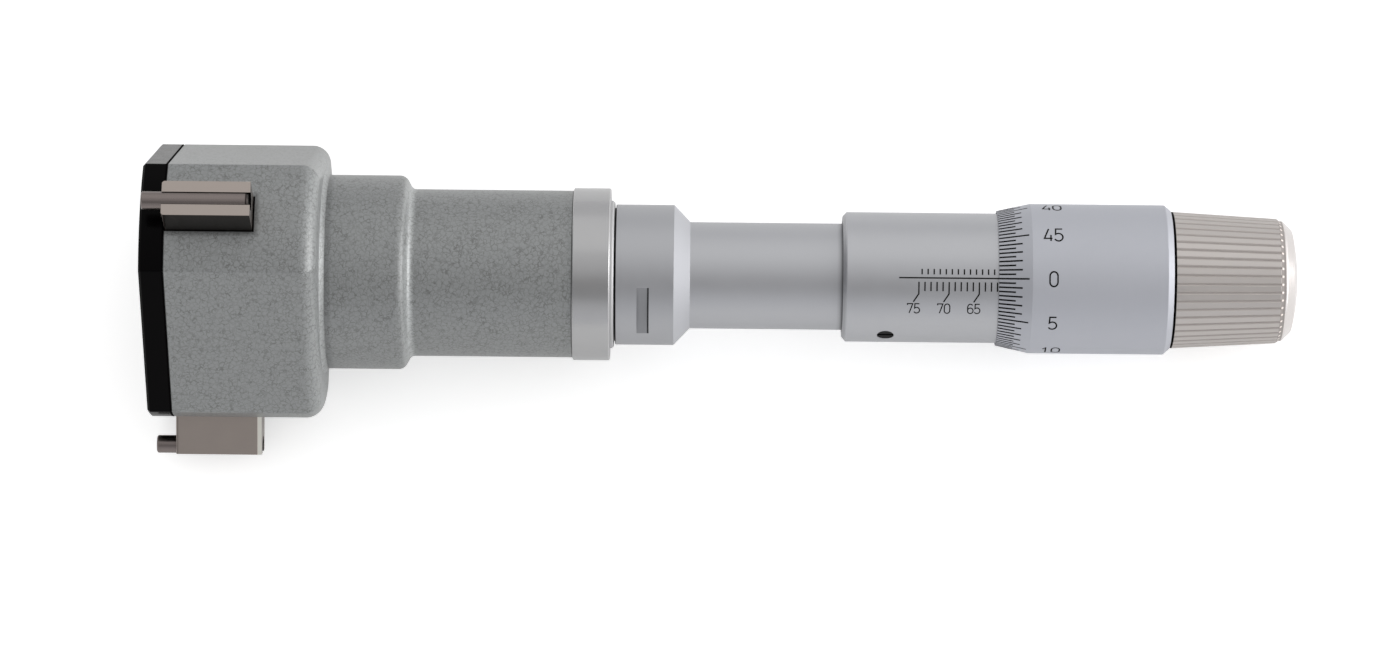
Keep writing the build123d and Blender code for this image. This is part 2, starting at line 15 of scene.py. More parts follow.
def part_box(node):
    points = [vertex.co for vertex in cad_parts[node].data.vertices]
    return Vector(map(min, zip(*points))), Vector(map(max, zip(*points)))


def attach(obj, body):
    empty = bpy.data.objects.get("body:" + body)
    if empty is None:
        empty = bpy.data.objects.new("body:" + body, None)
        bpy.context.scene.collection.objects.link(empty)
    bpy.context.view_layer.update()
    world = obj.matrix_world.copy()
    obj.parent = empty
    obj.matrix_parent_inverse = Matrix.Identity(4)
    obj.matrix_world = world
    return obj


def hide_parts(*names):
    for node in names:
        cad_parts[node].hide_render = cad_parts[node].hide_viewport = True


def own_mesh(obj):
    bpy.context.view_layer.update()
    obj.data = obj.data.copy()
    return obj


bl_info = {
    "name": "Three-point micrometer looks",
    "version": (1, 0, 0),
    "blender": (4, 5, 0),
    "location": "3D View > Sidebar > Micrometer",
    "description": "Finishes, scales and studio for a three-point inside micrometer",
    "category": "Object",
}

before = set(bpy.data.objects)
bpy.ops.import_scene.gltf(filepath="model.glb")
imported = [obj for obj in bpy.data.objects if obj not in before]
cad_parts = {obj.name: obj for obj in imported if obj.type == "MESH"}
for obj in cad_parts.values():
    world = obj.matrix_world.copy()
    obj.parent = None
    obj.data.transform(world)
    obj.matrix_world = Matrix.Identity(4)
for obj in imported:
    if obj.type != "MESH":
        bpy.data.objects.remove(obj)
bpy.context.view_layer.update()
MM = 0.001


def box_ends(node, axis):
    """Lowest and highest coordinate of a CAD node along one axis, in metres."""
    low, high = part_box(node)
    return low[axis], high[axis]


# Turn of each jaw about X, in degrees
JAW_TURNS = {"top": 0, "near": 120, "far": 240}

# Surfaces that the scales and the floor lie on, in metres
SLEEVE_RADIUS = box_ends("graduated_sleeve", 2)[1]
THIMBLE_RADIUS = box_ends("thimble", 2)[1]
THIMBLE_FRONT = box_ends("thimble", 0)[0]
THIMBLE_EDGE_RADIUS = 11.25 * MM
THIMBLE_CONE_LENGTH = 5.5 * MM
AXIS_TO_FLAT = -box_ends("head_body", 2)[0]

# Readings: the sleeve's in millimetres of bore, and the thimble's in hundredths of one
LOWEST_READING = 62
HIGHEST_READING = 75
READINGS_ROUND_THIMBLE = 50
FIGURE_EVERY = 5

# Points along the sleeve's lines, so that they follow its round surface
WHOLE_LINE_POINTS = 6
HALF_LINE_POINTS = 5
LEADER_POINTS = 7
SLANT_POINTS = 5

# Places that the finishes follow, in millimetres: stations along X, and radii round the axis
HEAD_FRONT = box_ends("front_cover", 0)[1] / MM
NECK_BACK = box_ends("head_body", 0)[1] / MM
RING_BACK = box_ends("lock_ring", 0)[1] / MM
COLLAR_FRONT = RING_BACK + 0.25
COLLAR_BACK = COLLAR_FRONT + 9.7
COLLAR_RADIUS = box_ends("body_tube", 2)[1] / MM
TAPER_BACK = COLLAR_BACK + 2.7
FLAT_FRONT = COLLAR_FRONT + 3.6
FLAT_BACK = COLLAR_FRONT + 5.6
SLEEVE_FRONT = box_ends("graduated_sleeve", 0)[0] / MM
THIMBLE_BACK = box_ends("thimble", 0)[1] / MM
GRIP_FRONT = box_ends("ratchet_knob", 0)[0] / MM
GRIP_BACK = GRIP_FRONT + 17.4
GRIP_BEVEL_BACK = GRIP_BACK + 0.55
GRIP_FRONT_RADIUS = box_ends("ratchet_knob", 2)[1] / MM
GRIP_BACK_RADIUS = 10.42
GROOVE_RUN_OUT = GRIP_BACK + 0.36
GROOVE_COUNT = 48
GROOVE_PHASE = 3.2
JAW_CREST = box_ends("jaw_top", 2)[1] / MM
JAW_FRONT = HEAD_FRONT + 0.05
JAW_BACK = JAW_FRONT + 14.4
JAW_HALF_WIDTH = box_ends("jaw_top", 1)[1] / MM
SLOT_HALF_WIDTH = JAW_HALF_WIDTH + 0.12
SLOT_BACK = JAW_BACK + 0.25
PIN_RADIUS = 1.5
PIN_MIDDLE = box_ends("carbide_pin_top", 2)[1] / MM - PIN_RADIUS
PIN_BACK = box_ends("carbide_pin_top", 0)[1] / MM

# Stretches over which a shade sets in, in millimetres: where it starts, and where it is full
COVER_EDGE = (HEAD_FRONT - 0.32, HEAD_FRONT - 0.28)
COVER_SEAM = (HEAD_FRONT + 0.15, HEAD_FRONT + 0.12)
NECK_SEAM = (NECK_BACK - 0.13, NECK_BACK - 0.1)
RING_LIP = (RING_BACK - 0.82, RING_BACK - 0.8)
RING_LIP_MIDDLE = (RING_BACK - 0.66, RING_BACK - 0.64)
RING_REAR = (RING_BACK - 0.015, RING_BACK - 0.005)
COLLAR_FACE = (COLLAR_FRONT + 0.015, COLLAR_FRONT + 0.005)
COLLAR_END = (COLLAR_BACK + 0.02, COLLAR_BACK - 0.02)
TAPER_START = (COLLAR_BACK, COLLAR_BACK + 0.04)
TAPER_END = (TAPER_BACK, TAPER_BACK - 0.04)
FLAT_DEPTH = (COLLAR_RADIUS - 0.01, COLLAR_RADIUS - 0.03)
FLAT_START = (FLAT_FRONT - 0.06, FLAT_FRONT)
FLAT_END = (FLAT_BACK + 0.06, FLAT_BACK)
FLAT_WALL = (FLAT_BACK - 0.35, FLAT_BACK - 0.15)
SLEEVE_BEVEL = (SLEEVE_FRONT + 0.45, SLEEVE_FRONT + 0.4)
THIMBLE_BEVEL = (THIMBLE_BACK - 1.02, THIMBLE_BACK - 0.98)
THIMBLE_REAR = (THIMBLE_BACK - 0.02, THIMBLE_BACK - 0.01)
KNOB_FACE = (GRIP_FRONT + 0.1, GRIP_FRONT + 0.08)
GRIP_END = (GRIP_BACK + 0.1, GRIP_BACK)
GRIP_BEVEL_START = (GRIP_BACK - 0.02, GRIP_BACK + 0.02)
GRIP_BEVEL_END = (GRIP_BEVEL_BACK + 0.02, GRIP_BEVEL_BACK - 0.02)
GROOVE_WALL = (0.005, 0.03)
GROOVE_FLOOR = (0.11, 0.07)
GROOVE_DOT = (0.26, 0.12)
PIN_REAR = (PIN_BACK - 0.5, PIN_BACK - 0.4)
PIN_GROOVE = (PIN_RADIUS + 0.02, PIN_RADIUS + 0.012)
MOUTH_SIDE = (1.12, 1.105)
MOUTH_FOOT = (0, 0.1)
MOUTH_TOP = (JAW_CREST - 0.002, JAW_CREST - 0.02)
JAW_DARK_SIDE = (-JAW_HALF_WIDTH + 0.02, -JAW_HALF_WIDTH + 0.01)
JAW_LIGHT_SIDE = (JAW_HALF_WIDTH - 0.02, JAW_HALF_WIDTH - 0.01)
JAW_REAR_BEVEL = (JAW_BACK - 0.75, JAW_BACK - 0.7)

# Level of a shaded place, as a share of its finish's colour. All but the collar and the grip's bevel are
# painted
# light: painted shade below 1, and painted highlights and lightening above 1
SHADES = {
    "paint_seam": 0.35,
    "ring_lip": 1.3,
    "ring_rear": 0.05,
    "collar_face": 0.03,
    "collar": 0.92,
    "taper": 1.22,
    "flat": 0.65,
    "flat_wall": 0.02,
    "sleeve_bevel": 0.85,
    "thimble_bevel": 1.05,
    "thimble_rear": 0.01,
    "knob_face": 0.02,
    "groove_wall": 1.12,
    "groove_dot": 2.2,
    "grip_bevel": 0.86,
    "pin_groove": 0.03,
    "pin_rear": 0.2,
    "jaw_dark_side": 0.15,
    "jaw_light_side": 1.2,
    "jaw_rear_bevel": 2.6,
}

# Roughness that is added at a duller place
DULLNESS = {
    "cover_edge": 0.75,
    "ring_lip": 0.35,
    "taper": 0.28,
    "groove": 0.4,
}

# Painted highlights on the paint over the head's rear edge and the boss's shoulder, and painted shade at the
# boss's foot: X, level
PAINT_EDGES = (
    (26.6, 1.0),
    (28.0, 1.3),
    (29.1, 1.7),
    (29.6, 1.3),
    (29.8, 0.75),
    (30.4, 0.8),
    (30.9, 1.0),
    (42.3, 1.0),
    (42.7, 1.5),
    (43.5, 1.9),
    (44.1, 1.4),
    (44.5, 1.0),
)

# Painted shade on the paint in and round a jaw's slot: distance out from the slot's wall, level
SLOT_EDGE = (
    (0.02, 0.01),
    (0.05, 0.45),
    (0.35, 0.6),
    (0.9, 1.0),
)

# Painted shade on the tube ahead of the sleeve, in the joint: distance along X from the sleeve's front, level
SLEEVE_JOINT = (
    (-1.0, 1.0),
    (-0.5, 0.85),
    (-0.1, 0.4),
    (0.0, 0.3),
)

# How fast the patterns change along X, Y and Z, per millimetre
LATHE_RINGS = (9, 0.5, 0.5)
GRINDING_SCRATCHES = (0.4, 14, 14)
METAL_WEAR = (0.35, 0.35, 0.35)
PAINT_PATCHES = (0.9, 0.9, 0.9)
PAINT_CLOUDS = (1.6, 1.6, 1.6)
ENAMEL_SKIN = (0.6, 0.6, 0.6)
BLACKING_GRAIN = (6, 6, 6)
INK_GRAIN = (8, 8, 8)

# Depth of the patterns, in metres
TOOL_MARK_DEPTH = 0.0000006
PAINT_CELL_DEPTH = 0.000012
ENAMEL_SKIN_DEPTH = 0.000004
BLACKING_DEPTH = 0.000003

# Where the floor touches the instrument along the axis, and the floor's own measures, in metres
REST_FRONT = 26.1 * MM
REST_BACK = 168.8 * MM
FLOOR_GAP = 0.02 * MM
FLOOR_HALF = 1.6
FLOOR_LINES = 9

# Light tent that reflections see: lean in degrees, from the near side over the top, and the colour there
TENT = (
    (-180, (0.95, 0.95, 0.96)),
    (-90, (0.92, 0.95, 1.0)),
    (-40, (0.91, 0.94, 1.0)),
    (8, (0.97, 0.975, 1.0)),
    (26, (0.86, 0.865, 0.88)),
    (38, (0.53, 0.53, 0.535)),
    (56, (0.53, 0.525, 0.525)),
    (72, (0.84, 0.835, 0.84)),
    (94, (1.0, 1.0, 1.0)),
    (130, (1.0, 1.0, 1.0)),
    (180, (0.95, 0.95, 0.96)),
)

# Levels of the tent past the cover and past the ratchet, and the panel that is added past the ratchet
TENT_ALONG = (0.45, 1.28)
PANEL_EDGE = (0.5, 0.95)
PANEL_LEVEL = 0.6

# Lamps: their distance and sizes in metres, and their places and colours
LAMP_DISTANCE = 0.9
KEY_LEAN = 125
KEY_SIZE = (1.3, 0.9)
KEY_COLOUR = (1, 0.99, 0.97)
SIDE_PAST_RATCHET = 0.96
SIDE_TO_CAMERA = 0.28
SIDE_SIZE = (0.8, 0.8)
SIDE_COLOUR = (1, 0.99, 0.98)

# Camera: its sensor in millimetres, and the distances in metres between which it sees
SENSOR_WIDTH = 36
NEAR_END = 0.01
FAR_END = 20


# Settings that a user would change


def length(name, text, value):
    """A length property, given in millimetres and kept in metres."""
    return FloatProperty(name=name, description=text, default=value * MM, unit="LENGTH", precision=5)


def share(name, text, value):
    """A property from 0 to 1."""
    return FloatProperty(name=name, description=text, default=value, min=0, max=1, subtype="FACTOR")


def angle(name, text, value):
    """An angle property, given in degrees and kept in radians."""
    return FloatProperty(
        name=name, description=text, default=radians(value), unit="ROTATION", subtype="ANGLE"
    )


def power(name, text, value):
    """A lamp's power, in watts."""
    return FloatProperty(name=name, description=text, default=value, unit="POWER")


def paint(name, text, red, green, blue):
    """A colour property, as linear light."""
    return FloatVectorProperty(
        name=name, description=text, default=(red, green, blue), size=3, min=0, max=1, subtype="COLOR"
    )


class ScaleSettings(PropertyGroup):
    """Sizes of the engraved lines and figures."""

    datum_angle: angle("Datum angle", "Turn of the datum line from straight up towards the near side", 22.6)
    proud: length("Ink height", "How far the ink stands over the metal, so that it shows", 0.012)
    sunk: length("Ink depth", "How far the ink reaches into the metal", 0.04)
    sleeve_line: length("Sleeve line", "Width of the sleeve's lines", 0.235)
    sleeve_stroke: length("Sleeve figure stroke", "Width of the strokes of the sleeve's figures", 0.19)
    datum_ahead: length("Datum start", "Length of the datum line ahead of the highest reading", 3.3)
    datum_behind: length("Datum end", "How far the datum line runs in under the thimble", 2)
    top_reading_back: length("Top reading", "From the sleeve's front to the highest reading's line", 12.5)
    lower_near: length("Lower line start", "From the datum line down to the whole millimetre lines", 0.66)
    lower_length: length("Lower line length", "Length of the whole millimetre lines", 1.54)
    upper_near: length("Upper line start", "From the datum line up to the half millimetre lines", 0.58)
    upper_length: length("Upper line length", "Length of the half millimetre lines", 0.92)
    leader_straight: length("Leader straight", "Length of a numbered line before it bends", 2.0)
    leader_back: length("Leader set-off", "How far a numbered line bends towards the head", 0.88)
    leader_drop: length("Leader drop", "How far down the bent part goes", 1.42)
    sleeve_figure_width: length("Sleeve figure width", "Width of one figure on the sleeve", 0.9)
    sleeve_figure_height: length("Sleeve figure height", "Height of one figure on the sleeve", 1.76)
    sleeve_figure_gap: length("Sleeve figure gap", "Gap between two figures on the sleeve", 0.24)
    sleeve_figure_drop: length("Sleeve figure drop", "From the datum line to the figures' middle", 5.3)
    sleeve_figure_back: length("Sleeve figure set-off", "From a numbered line to its figures' middle", 0.83)
    thimble_line: length("Thimble line", "Width of the thimble's lines", 0.27)
    thimble_stroke: length("Thimble figure stroke", "Width of the strokes of the thimble's figures", 0.26)
    odd_line: length("Odd line", "Length of the thimble's odd lines", 2.75)
    even_line: length("Even line", "Length of the thimble's even lines", 3.85)
    tenth_line: length("Tenth line", "Length of the thimble's numbered lines", 4.95)
    thimble_figure_width: length("Thimble figure width", "Width of one figure on the thimble", 1.32)
    thimble_figure_height: length("Thimble figure height", "Height of one figure on the thimble", 2.45)
    thimble_figure_gap: length("Thimble figure gap", "Gap between two figures on the thimble", 0.42)
    thimble_figure_back: length(
        "Thimble figure place", "From the thimble's front to the middle of its figures", 8.98
    )
    divisions: IntProperty(name="Divisions", description="Lines round the thimble", default=100, min=10)


class SpringSettings(PropertyGroup):
    """Sizes of the springs that push the jaws back in."""

    wire: length("Wire", "Diameter of the drawn wire", 0.4)
    outside: length("Outside", "Diameter over the coils", 4.0)
    closed_pitch: length("Closed pitch", "Rise of one turn where the coils lie together at each end", 0.42)
    turns: IntProperty(
        name="Turns", description="Turns of each spring, with its closed ends", default=7, min=3
    )


class FinishSettings(PropertyGroup):
    """Colours and roughness of the finishes."""

    paint_body: paint("Paint", "Grey of the hammer finish", 0.258, 0.267, 0.268)
    paint_outline: paint("Paint outline", "Darker grey between the paint's cells", 0.132, 0.134, 0.131)
    paint_cell: length("Paint cell", "Width of one cell of the hammer finish", 0.8)
    enamel: paint("Enamel", "Black of the cover", 0.0012, 0.001, 0.0012)
    satin_chrome: paint("Satin chrome", "Colour of the sleeve and the tube", 0.46, 0.465, 0.485)
    satin_thimble: paint("Satin thimble", "Colour of the thimble", 0.512, 0.522, 0.561)
    satin_ring: paint("Satin ring", "Colour of the lock ring", 0.425, 0.425, 0.43)
    ground_steel: paint("Ground steel", "Colour of the jaws", 0.36, 0.316, 0.29)
    carbide: paint("Carbide", "Colour of the measuring pins", 0.205, 0.176, 0.168)
    hardened_steel: paint("Hardened steel", "Colour of the cone and spindle", 0.42, 0.41, 0.4)
    turned_steel: paint("Turned steel", "Colour of the nuts and the rod", 0.5, 0.5, 0.51)
    blackened_steel: paint("Blackened steel", "Colour of the small screws", 0.004, 0.004, 0.0045)
    bronze: paint("Bronze", "Colour of the rod's bushes", 0.52, 0.33, 0.15)
    nickel_silver: paint("Nickel silver", "Colour of the ratchet knob", 0.505, 0.475, 0.458)
    polished_nickel: paint("Polished nickel", "Colour of the end cap", 0.74, 0.705, 0.69)
    ink: paint("Ink", "Black in the engraved lines", 0.006, 0.0055, 0.0055)
    ring_rough: share("Ring roughness", "Roughness of the lock ring", 0.25)
    tube_rough: share("Tube roughness", "Roughness of the tube", 0.45)
    sleeve_rough: share("Sleeve roughness", "Roughness of the sleeve", 0.4)
    thimble_rough: share("Thimble roughness", "Roughness of the thimble", 0.63)
    knob_rough: share("Knob roughness", "Roughness of the ratchet knob", 0.42)
    cap_rough: share("Cap roughness", "Roughness of the end cap", 0.2)
    carbide_rough: share("Carbide roughness", "Roughness of the measuring pins", 0.28)
    wire_rough: share("Wire roughness", "Roughness of the springs", 0.35)
    ground_rough: share("Ground roughness", "Roughness of the jaws and the pieces inside", 0.3)


class StageSettings(PropertyGroup):
    """Floor, light and camera."""

    lens: FloatProperty(
        name="Lens", description="Focal length on a sensor 36 mm wide", default=143.57, unit="CAMERA"
    )
    distance: length("Distance", "From the camera to the instrument's axis", 934.4)
    aim: length("Aim", "Place along the axis that the camera faces", 91.66)
    shift_down: length("Shift down", "How far the camera is moved down the picture", 7.98)
    lean: angle("Lean", "Turn of the camera over the top, from level at the near side", 68.1)
    roll: angle("Roll", "Slope of the axis in the picture", 0.581)
    floor: paint("Floor", "Colour of the floor", 0.86, 0.86, 0.86)
    floor_rough: share("Floor roughness", "Roughness of the floor", 0.9)
    floor_glow: share("Floor glow", "Light that the camera alone sees on the floor", 0.5)
    floor_gloss: share("Floor gloss", "Light that reflections alone see on the floor", 0.2)
    sky: share("Sky", "Strength of the light from all round", 0.78)
    key: power("Key light", "Power of the large lamp", 0.6)
    side: power("Side light", "Power of the lamp past the ratchet", 3.6)


def scales():
    """The scale settings of the scene."""
    return bpy.context.scene.micrometer_scales


def springs():
    """The spring settings of the scene."""
    return bpy.context.scene.micrometer_springs


def finishes():
    """The finish settings of the scene."""
    return bpy.context.scene.micrometer_finishes


# Nodes of the materials


def add_node(tree, kind, inputs=None, **settings):
    """A node of that kind. Inputs maps a socket's name or number to a value or to another node's output."""
    made = tree.nodes.new(kind)
    for key, value in settings.items():
        setattr(made, key, value)
    for key, value in (inputs or {}).items():
        if isinstance(value, bpy.types.NodeSocket):
            tree.links.new(value, made.inputs[key])
        else:
            made.inputs[key].default_value = value
    return made


def new_material(name):
    """An empty material with its Principled shader joined to the output."""
    made = bpy.data.materials.new(name)
    made.use_nodes = True
    tree = made.node_tree
    tree.nodes.clear()
    shader = add_node(tree, "ShaderNodeBsdfPrincipled")
    add_node(tree, "ShaderNodeOutputMaterial", {"Surface": shader.outputs["BSDF"]})
    return made, tree, shader


def object_place(tree, stretch=(1, 1, 1)):
    """Object coordinates in millimetres, stretched along each axis."""
    place = add_node(tree, "ShaderNodeTexCoord")
    scale = [value / MM for value in stretch]
    made = add_node(tree, "ShaderNodeMapping", {"Vector": place.outputs["Object"], "Scale": scale})
    return made.outputs["Vector"]


def noise(tree, place, detail, rough=0.5):
    """A noise value from 0 to 1 at that place."""
    inputs = {"Vector": place, "Scale": 1, "Detail": detail, "Roughness": rough}
    return add_node(tree, "ShaderNodeTexNoise", inputs).outputs["Fac"]


def carry(tree, value, old, new, **settings):
    """A value carried over from one range to another, and level beyond its ends. A range is a pair."""
    inputs = {"Value": value, "From Min": old[0], "From Max": old[1], "To Min": new[0], "To Max": new[1]}
    return add_node(tree, "ShaderNodeMapRange", inputs, **settings).outputs["Result"]


def spread(tree, value, low, high):
    """A value from 0 to 1 carried over to another range."""
    return carry(tree, value, (0, 1), (low, high))


def rise_between(tree, value, start, end):
    """0 at the start and 1 at the end, which may also lie below the start, and level beyond both."""
    return carry(tree, value, (start, end), (0, 1))


def tint(tree, colour, level):
    """A colour made lighter or darker by a level round 1."""
    grey = add_node(tree, "ShaderNodeCombineColor", {"Red": level, "Green": level, "Blue": level})
    inputs = {0: 1.0, 6: (*colour, 1), 7: grey.outputs["Color"]}
    return add_node(tree, "ShaderNodeMix", inputs, data_type="RGBA", blend_type="MULTIPLY").outputs[2]


def mixed(tree, mask, plain, other):
    """One colour where the mask is 0, and the other where it is 1."""
    return add_node(tree, "ShaderNodeMix", {0: mask, 6: plain, 7: other}, data_type="RGBA").outputs[2]


def bump(tree, height, depth):
    """A normal from a height of 0 to 1 times that depth, in metres."""
    made = add_node(tree, "ShaderNodeBump", {"Height": height, "Strength": 1, "Distance": depth})
    return made.outputs["Normal"]


def maths(tree, operation, *values):
    """The result of a sum between values or sockets."""
    return add_node(tree, "ShaderNodeMath", dict(enumerate(values)), operation=operation).outputs[0]


def product(tree, first, *others):
    """The values multiplied together."""
    for other in others:
        first = maths(tree, "MULTIPLY", first, other)
    return first


def distance_of(tree, across, up):
    """The length of the way that goes across and up by those values."""
    squares = maths(tree, "ADD", maths(tree, "POWER", across, 2), maths(tree, "POWER", up, 2))
    return maths(tree, "SQRT", squares)


def shaded(tree, **masks):
    """A level of 1, multiplied by each named place's shade wherever its mask is 1."""
    levels = [spread(tree, mask, 1, SHADES[place]) for place, mask in masks.items()]
    return product(tree, 1.0, *levels)


def dulled(tree, place, mask):
    """The roughness that is added wherever that place's mask is 1."""
    return product(tree, mask, DULLNESS[place])


def ramp_between(tree, value, stops):
    """A colour that goes from each stop to the next. A stop is a value and its colour."""
    first, last = stops[0][0], stops[-1][0]
    made = add_node(tree, "ShaderNodeValToRGB", {"Fac": rise_between(tree, value, first, last)})
    elements = made.color_ramp.elements
    for number, (place, colour) in enumerate(stops):
        position = (place - first) / (last - first)
        element = elements[number] if number < len(elements) else elements.new(position)
        element.position = position
        element.color = (*colour, 1)
    return made.outputs["Color"]


def level_between(tree, value, stops):
    """A level that goes from each stop to the next. A stop is a value and its level, which is under 4."""
    most = 4
    greys = [(place, (level / most,) * 3) for place, level in stops]
    return product(tree, ramp_between(tree, value, greys), most)


def coordinates(tree, turn_back=0):
    """X, Y and Z of the object in millimetres, turned back about X by that many degrees."""
    place = add_node(
        tree, "ShaderNodeVectorRotate", {"Vector": object_place(tree), "Angle": -radians(turn_back)},
        rotation_type="X_AXIS",
    ).outputs["Vector"]
    return add_node(tree, "ShaderNodeSeparateXYZ", {"Vector": place}).outputs


def axis_distance(tree):
    """Distance from the X axis in millimetres."""
    flat = add_node(
        tree, "ShaderNodeVectorMath", {0: object_place(tree), 1: (0, 1, 1)}, operation="MULTIPLY"
    ).outputs[0]
    return add_node(tree, "ShaderNodeVectorMath", {0: flat}, operation="LENGTH").outputs["Value"]


# Finishes


def machined_metal(name, colour, roughness, lines, shade=None, matt=None):
    """Metal with fine tool marks.

    lines gives how fast the marks change along X, Y and Z, per millimetre: turned work has rings, so it
    changes fast along X, and ground work has straight scratches. The colour and the roughness also vary
    slowly, as wear does. shade makes a level that the colour is multiplied by, and matt makes a value that
    is added to the roughness.
    """
    uneven, rough_uneven = 0.05, 0.2
    made, tree, shader = new_material(name)
    marks = noise(tree, object_place(tree, lines), detail=3, rough=0.6)
    cloud = noise(tree, object_place(tree, METAL_WEAR), detail=4, rough=0.6)
    half = product(tree, maths(tree, "ADD", marks, cloud), 0.5)
    level = spread(tree, half, 1 - uneven, 1 + uneven)
    rough = spread(tree, half, roughness * (1 - rough_uneven), roughness * (1 + rough_uneven))
    if shade:
        level = product(tree, level, shade(tree))
    if matt:
        rough = maths(tree, "ADD", rough, matt(tree))
    tree.links.new(tint(tree, colour, level), shader.inputs["Base Color"])
    tree.links.new(rough, shader.inputs["Roughness"])
    tree.links.new(bump(tree, marks, TOOL_MARK_DEPTH), shader.inputs["Normal"])
    shader.inputs["Metallic"].default_value = 1
    return made


def turned(name, colour, roughness, **more):
    """Metal turned on a lathe, with rings across X."""
    return machined_metal(name, colour, roughness, LATHE_RINGS, **more)


def ground(name, colour, roughness, **more):
    """Metal ground along X, with scratches that follow it."""
    return machined_metal(name, colour, roughness, GRINDING_SCRATCHES, **more)


def ring_shade(tree):
    """A painted highlight on the lip, and painted shade on the rear face in the joint."""
    x = coordinates(tree)["X"]
    return shaded(
        tree, ring_lip=rise_between(tree, x, *RING_LIP), ring_rear=rise_between(tree, x, *RING_REAR)
    )


def ring_matt(tree):
    """A duller lip."""
    return dulled(tree, "ring_lip", rise_between(tree, coordinates(tree)["X"], *RING_LIP_MIDDLE))


def taper_mask(tree):
    """1 on the taper behind the collar, and 0 elsewhere."""
    x = coordinates(tree)["X"]
    return product(tree, rise_between(tree, x, *TAPER_START), rise_between(tree, x, *TAPER_END))


def tube_matt(tree):
    """A duller taper."""
    return dulled(tree, "taper", taper_mask(tree))


def tube_shade(tree):
    """Painted shade in the joints ahead of the collar and the sleeve, a darker collar, a painted highlight on
    the taper, and painted shade in the flats.

    A flat is where the surface lies under the collar's radius. Its painted shade deepens towards its rear wall.
    """
    x = coordinates(tree)["X"]
    flat = product(
        tree, rise_between(tree, axis_distance(tree), *FLAT_DEPTH),
        rise_between(tree, x, *FLAT_START), rise_between(tree, x, *FLAT_END),
    )
    level = shaded(
        tree,
        collar_face=rise_between(tree, x, *COLLAR_FACE),
        collar=rise_between(tree, x, *COLLAR_END),
        taper=taper_mask(tree),
        flat=flat,
        flat_wall=product(tree, flat, rise_between(tree, x, *FLAT_WALL)),
    )
    ahead_of_sleeve = maths(tree, "SUBTRACT", x, SLEEVE_FRONT)
    return product(tree, level, level_between(tree, ahead_of_sleeve, SLEEVE_JOINT))


def sleeve_shade(tree):
    """A front bevel a little darker than the sleeve: painted shade."""
    return shaded(tree, sleeve_bevel=rise_between(tree, coordinates(tree)["X"], *SLEEVE_BEVEL))


def thimble_shade(tree):
    """A painted highlight on the rear bevel, and painted shade on the rear face, which lies in the gap ahead of
    the ratchet knob.
    """
    x = coordinates(tree)["X"]
    return shaded(
        tree,
        thimble_bevel=rise_between(tree, x, *THIMBLE_BEVEL),
        thimble_rear=rise_between(tree, x, *THIMBLE_REAR),
    )


def groove_depth(tree):
    """How far a point of the knob lies under its taper, in millimetres."""
    grip, radii = (GRIP_FRONT, GRIP_BACK), (GRIP_FRONT_RADIUS, GRIP_BACK_RADIUS)
    taper = carry(tree, coordinates(tree)["X"], grip, radii, clamp=False)
    return maths(tree, "SUBTRACT", taper, axis_distance(tree))


def groove_dots(tree):
    """1 on a dot at each place where a groove runs out through the rear bevel, and 0 elsewhere. The dots are
    painted glints.

    The way across a dot is a fraction of the grooves' pitch round the knob, and the way along it is along X.
    """
    widening = 1.35
    place = coordinates(tree)
    turn_round = maths(tree, "ADD", maths(tree, "ARCTAN2", place["Y"], place["Z"]), radians(GROOVE_PHASE))
    pitches = product(tree, turn_round, GROOVE_COUNT / (2 * pi))
    fraction = maths(tree, "FRACT", maths(tree, "ADD", pitches, 0.5))
    across = maths(tree, "ABSOLUTE", maths(tree, "SUBTRACT", fraction, 0.5))
    along = maths(tree, "SUBTRACT", place["X"], GROOVE_RUN_OUT)
    away = distance_of(tree, product(tree, across, widening), maths(tree, "ABSOLUTE", along))
    return rise_between(tree, away, *GROOVE_DOT)


def knob_shade(tree):
    """Slightly lighter groove walls, a darker rear bevel with bright dots, and a dark front face.

    The walls' lightness is painted light against their own shade, the dots are painted glints, and the dark
    front face is painted shade in the gap behind the thimble.
    """
    x = coordinates(tree)["X"]
    depth = groove_depth(tree)
    wall = product(
        tree, rise_between(tree, depth, *GROOVE_WALL), rise_between(tree, depth, *GROOVE_FLOOR),
        rise_between(tree, x, *GRIP_END),
    )
    bevel = product(
        tree, rise_between(tree, x, *GRIP_BEVEL_START), rise_between(tree, x, *GRIP_BEVEL_END)
    )
    return shaded(
        tree, groove_wall=wall, grip_bevel=bevel, groove_dot=groove_dots(tree),
        knob_face=rise_between(tree, x, *KNOB_FACE),
    )


def knob_matt(tree):
    """Rougher walls in the grooves."""
    return dulled(tree, "groove", rise_between(tree, groove_depth(tree), *GROOVE_WALL))


def jaw_shade(turn_back):
    """Shade of a jaw turned about X by that angle: a dark side, a light one with a bright rear bevel, and a
    dark
    groove for its pin. All of it is painted: painted shade on the dark side and in the groove, and painted
    light on the light side and its rear bevel.

    The groove is round below the pin's middle, and an upright mouth above it.
    """
    def shade(tree):
        place = coordinates(tree, turn_back)
        off = maths(tree, "ABSOLUTE", place["Y"])
        height = maths(tree, "SUBTRACT", place["Z"], PIN_MIDDLE)
        mouth = product(
            tree, rise_between(tree, off, *MOUTH_SIDE), rise_between(tree, height, *MOUTH_FOOT),
            rise_between(tree, place["Z"], *MOUTH_TOP),
        )
        round_part = rise_between(tree, distance_of(tree, off, height), *PIN_GROOVE)
        light_side = rise_between(tree, place["Y"], *JAW_LIGHT_SIDE)
        return shaded(
            tree,
            pin_groove=maths(tree, "MAXIMUM", mouth, round_part),
            jaw_dark_side=rise_between(tree, place["Y"], *JAW_DARK_SIDE),
            jaw_light_side=light_side,
            jaw_rear_bevel=product(tree, light_side, rise_between(tree, place["X"], *JAW_REAR_BEVEL)),
        )
    return shade


def pin_shade(tree):
    """A dark rear bevel: painted shade by the gap behind the pin's end."""
    return shaded(tree, pin_rear=rise_between(tree, coordinates(tree)["X"], *PIN_REAR))


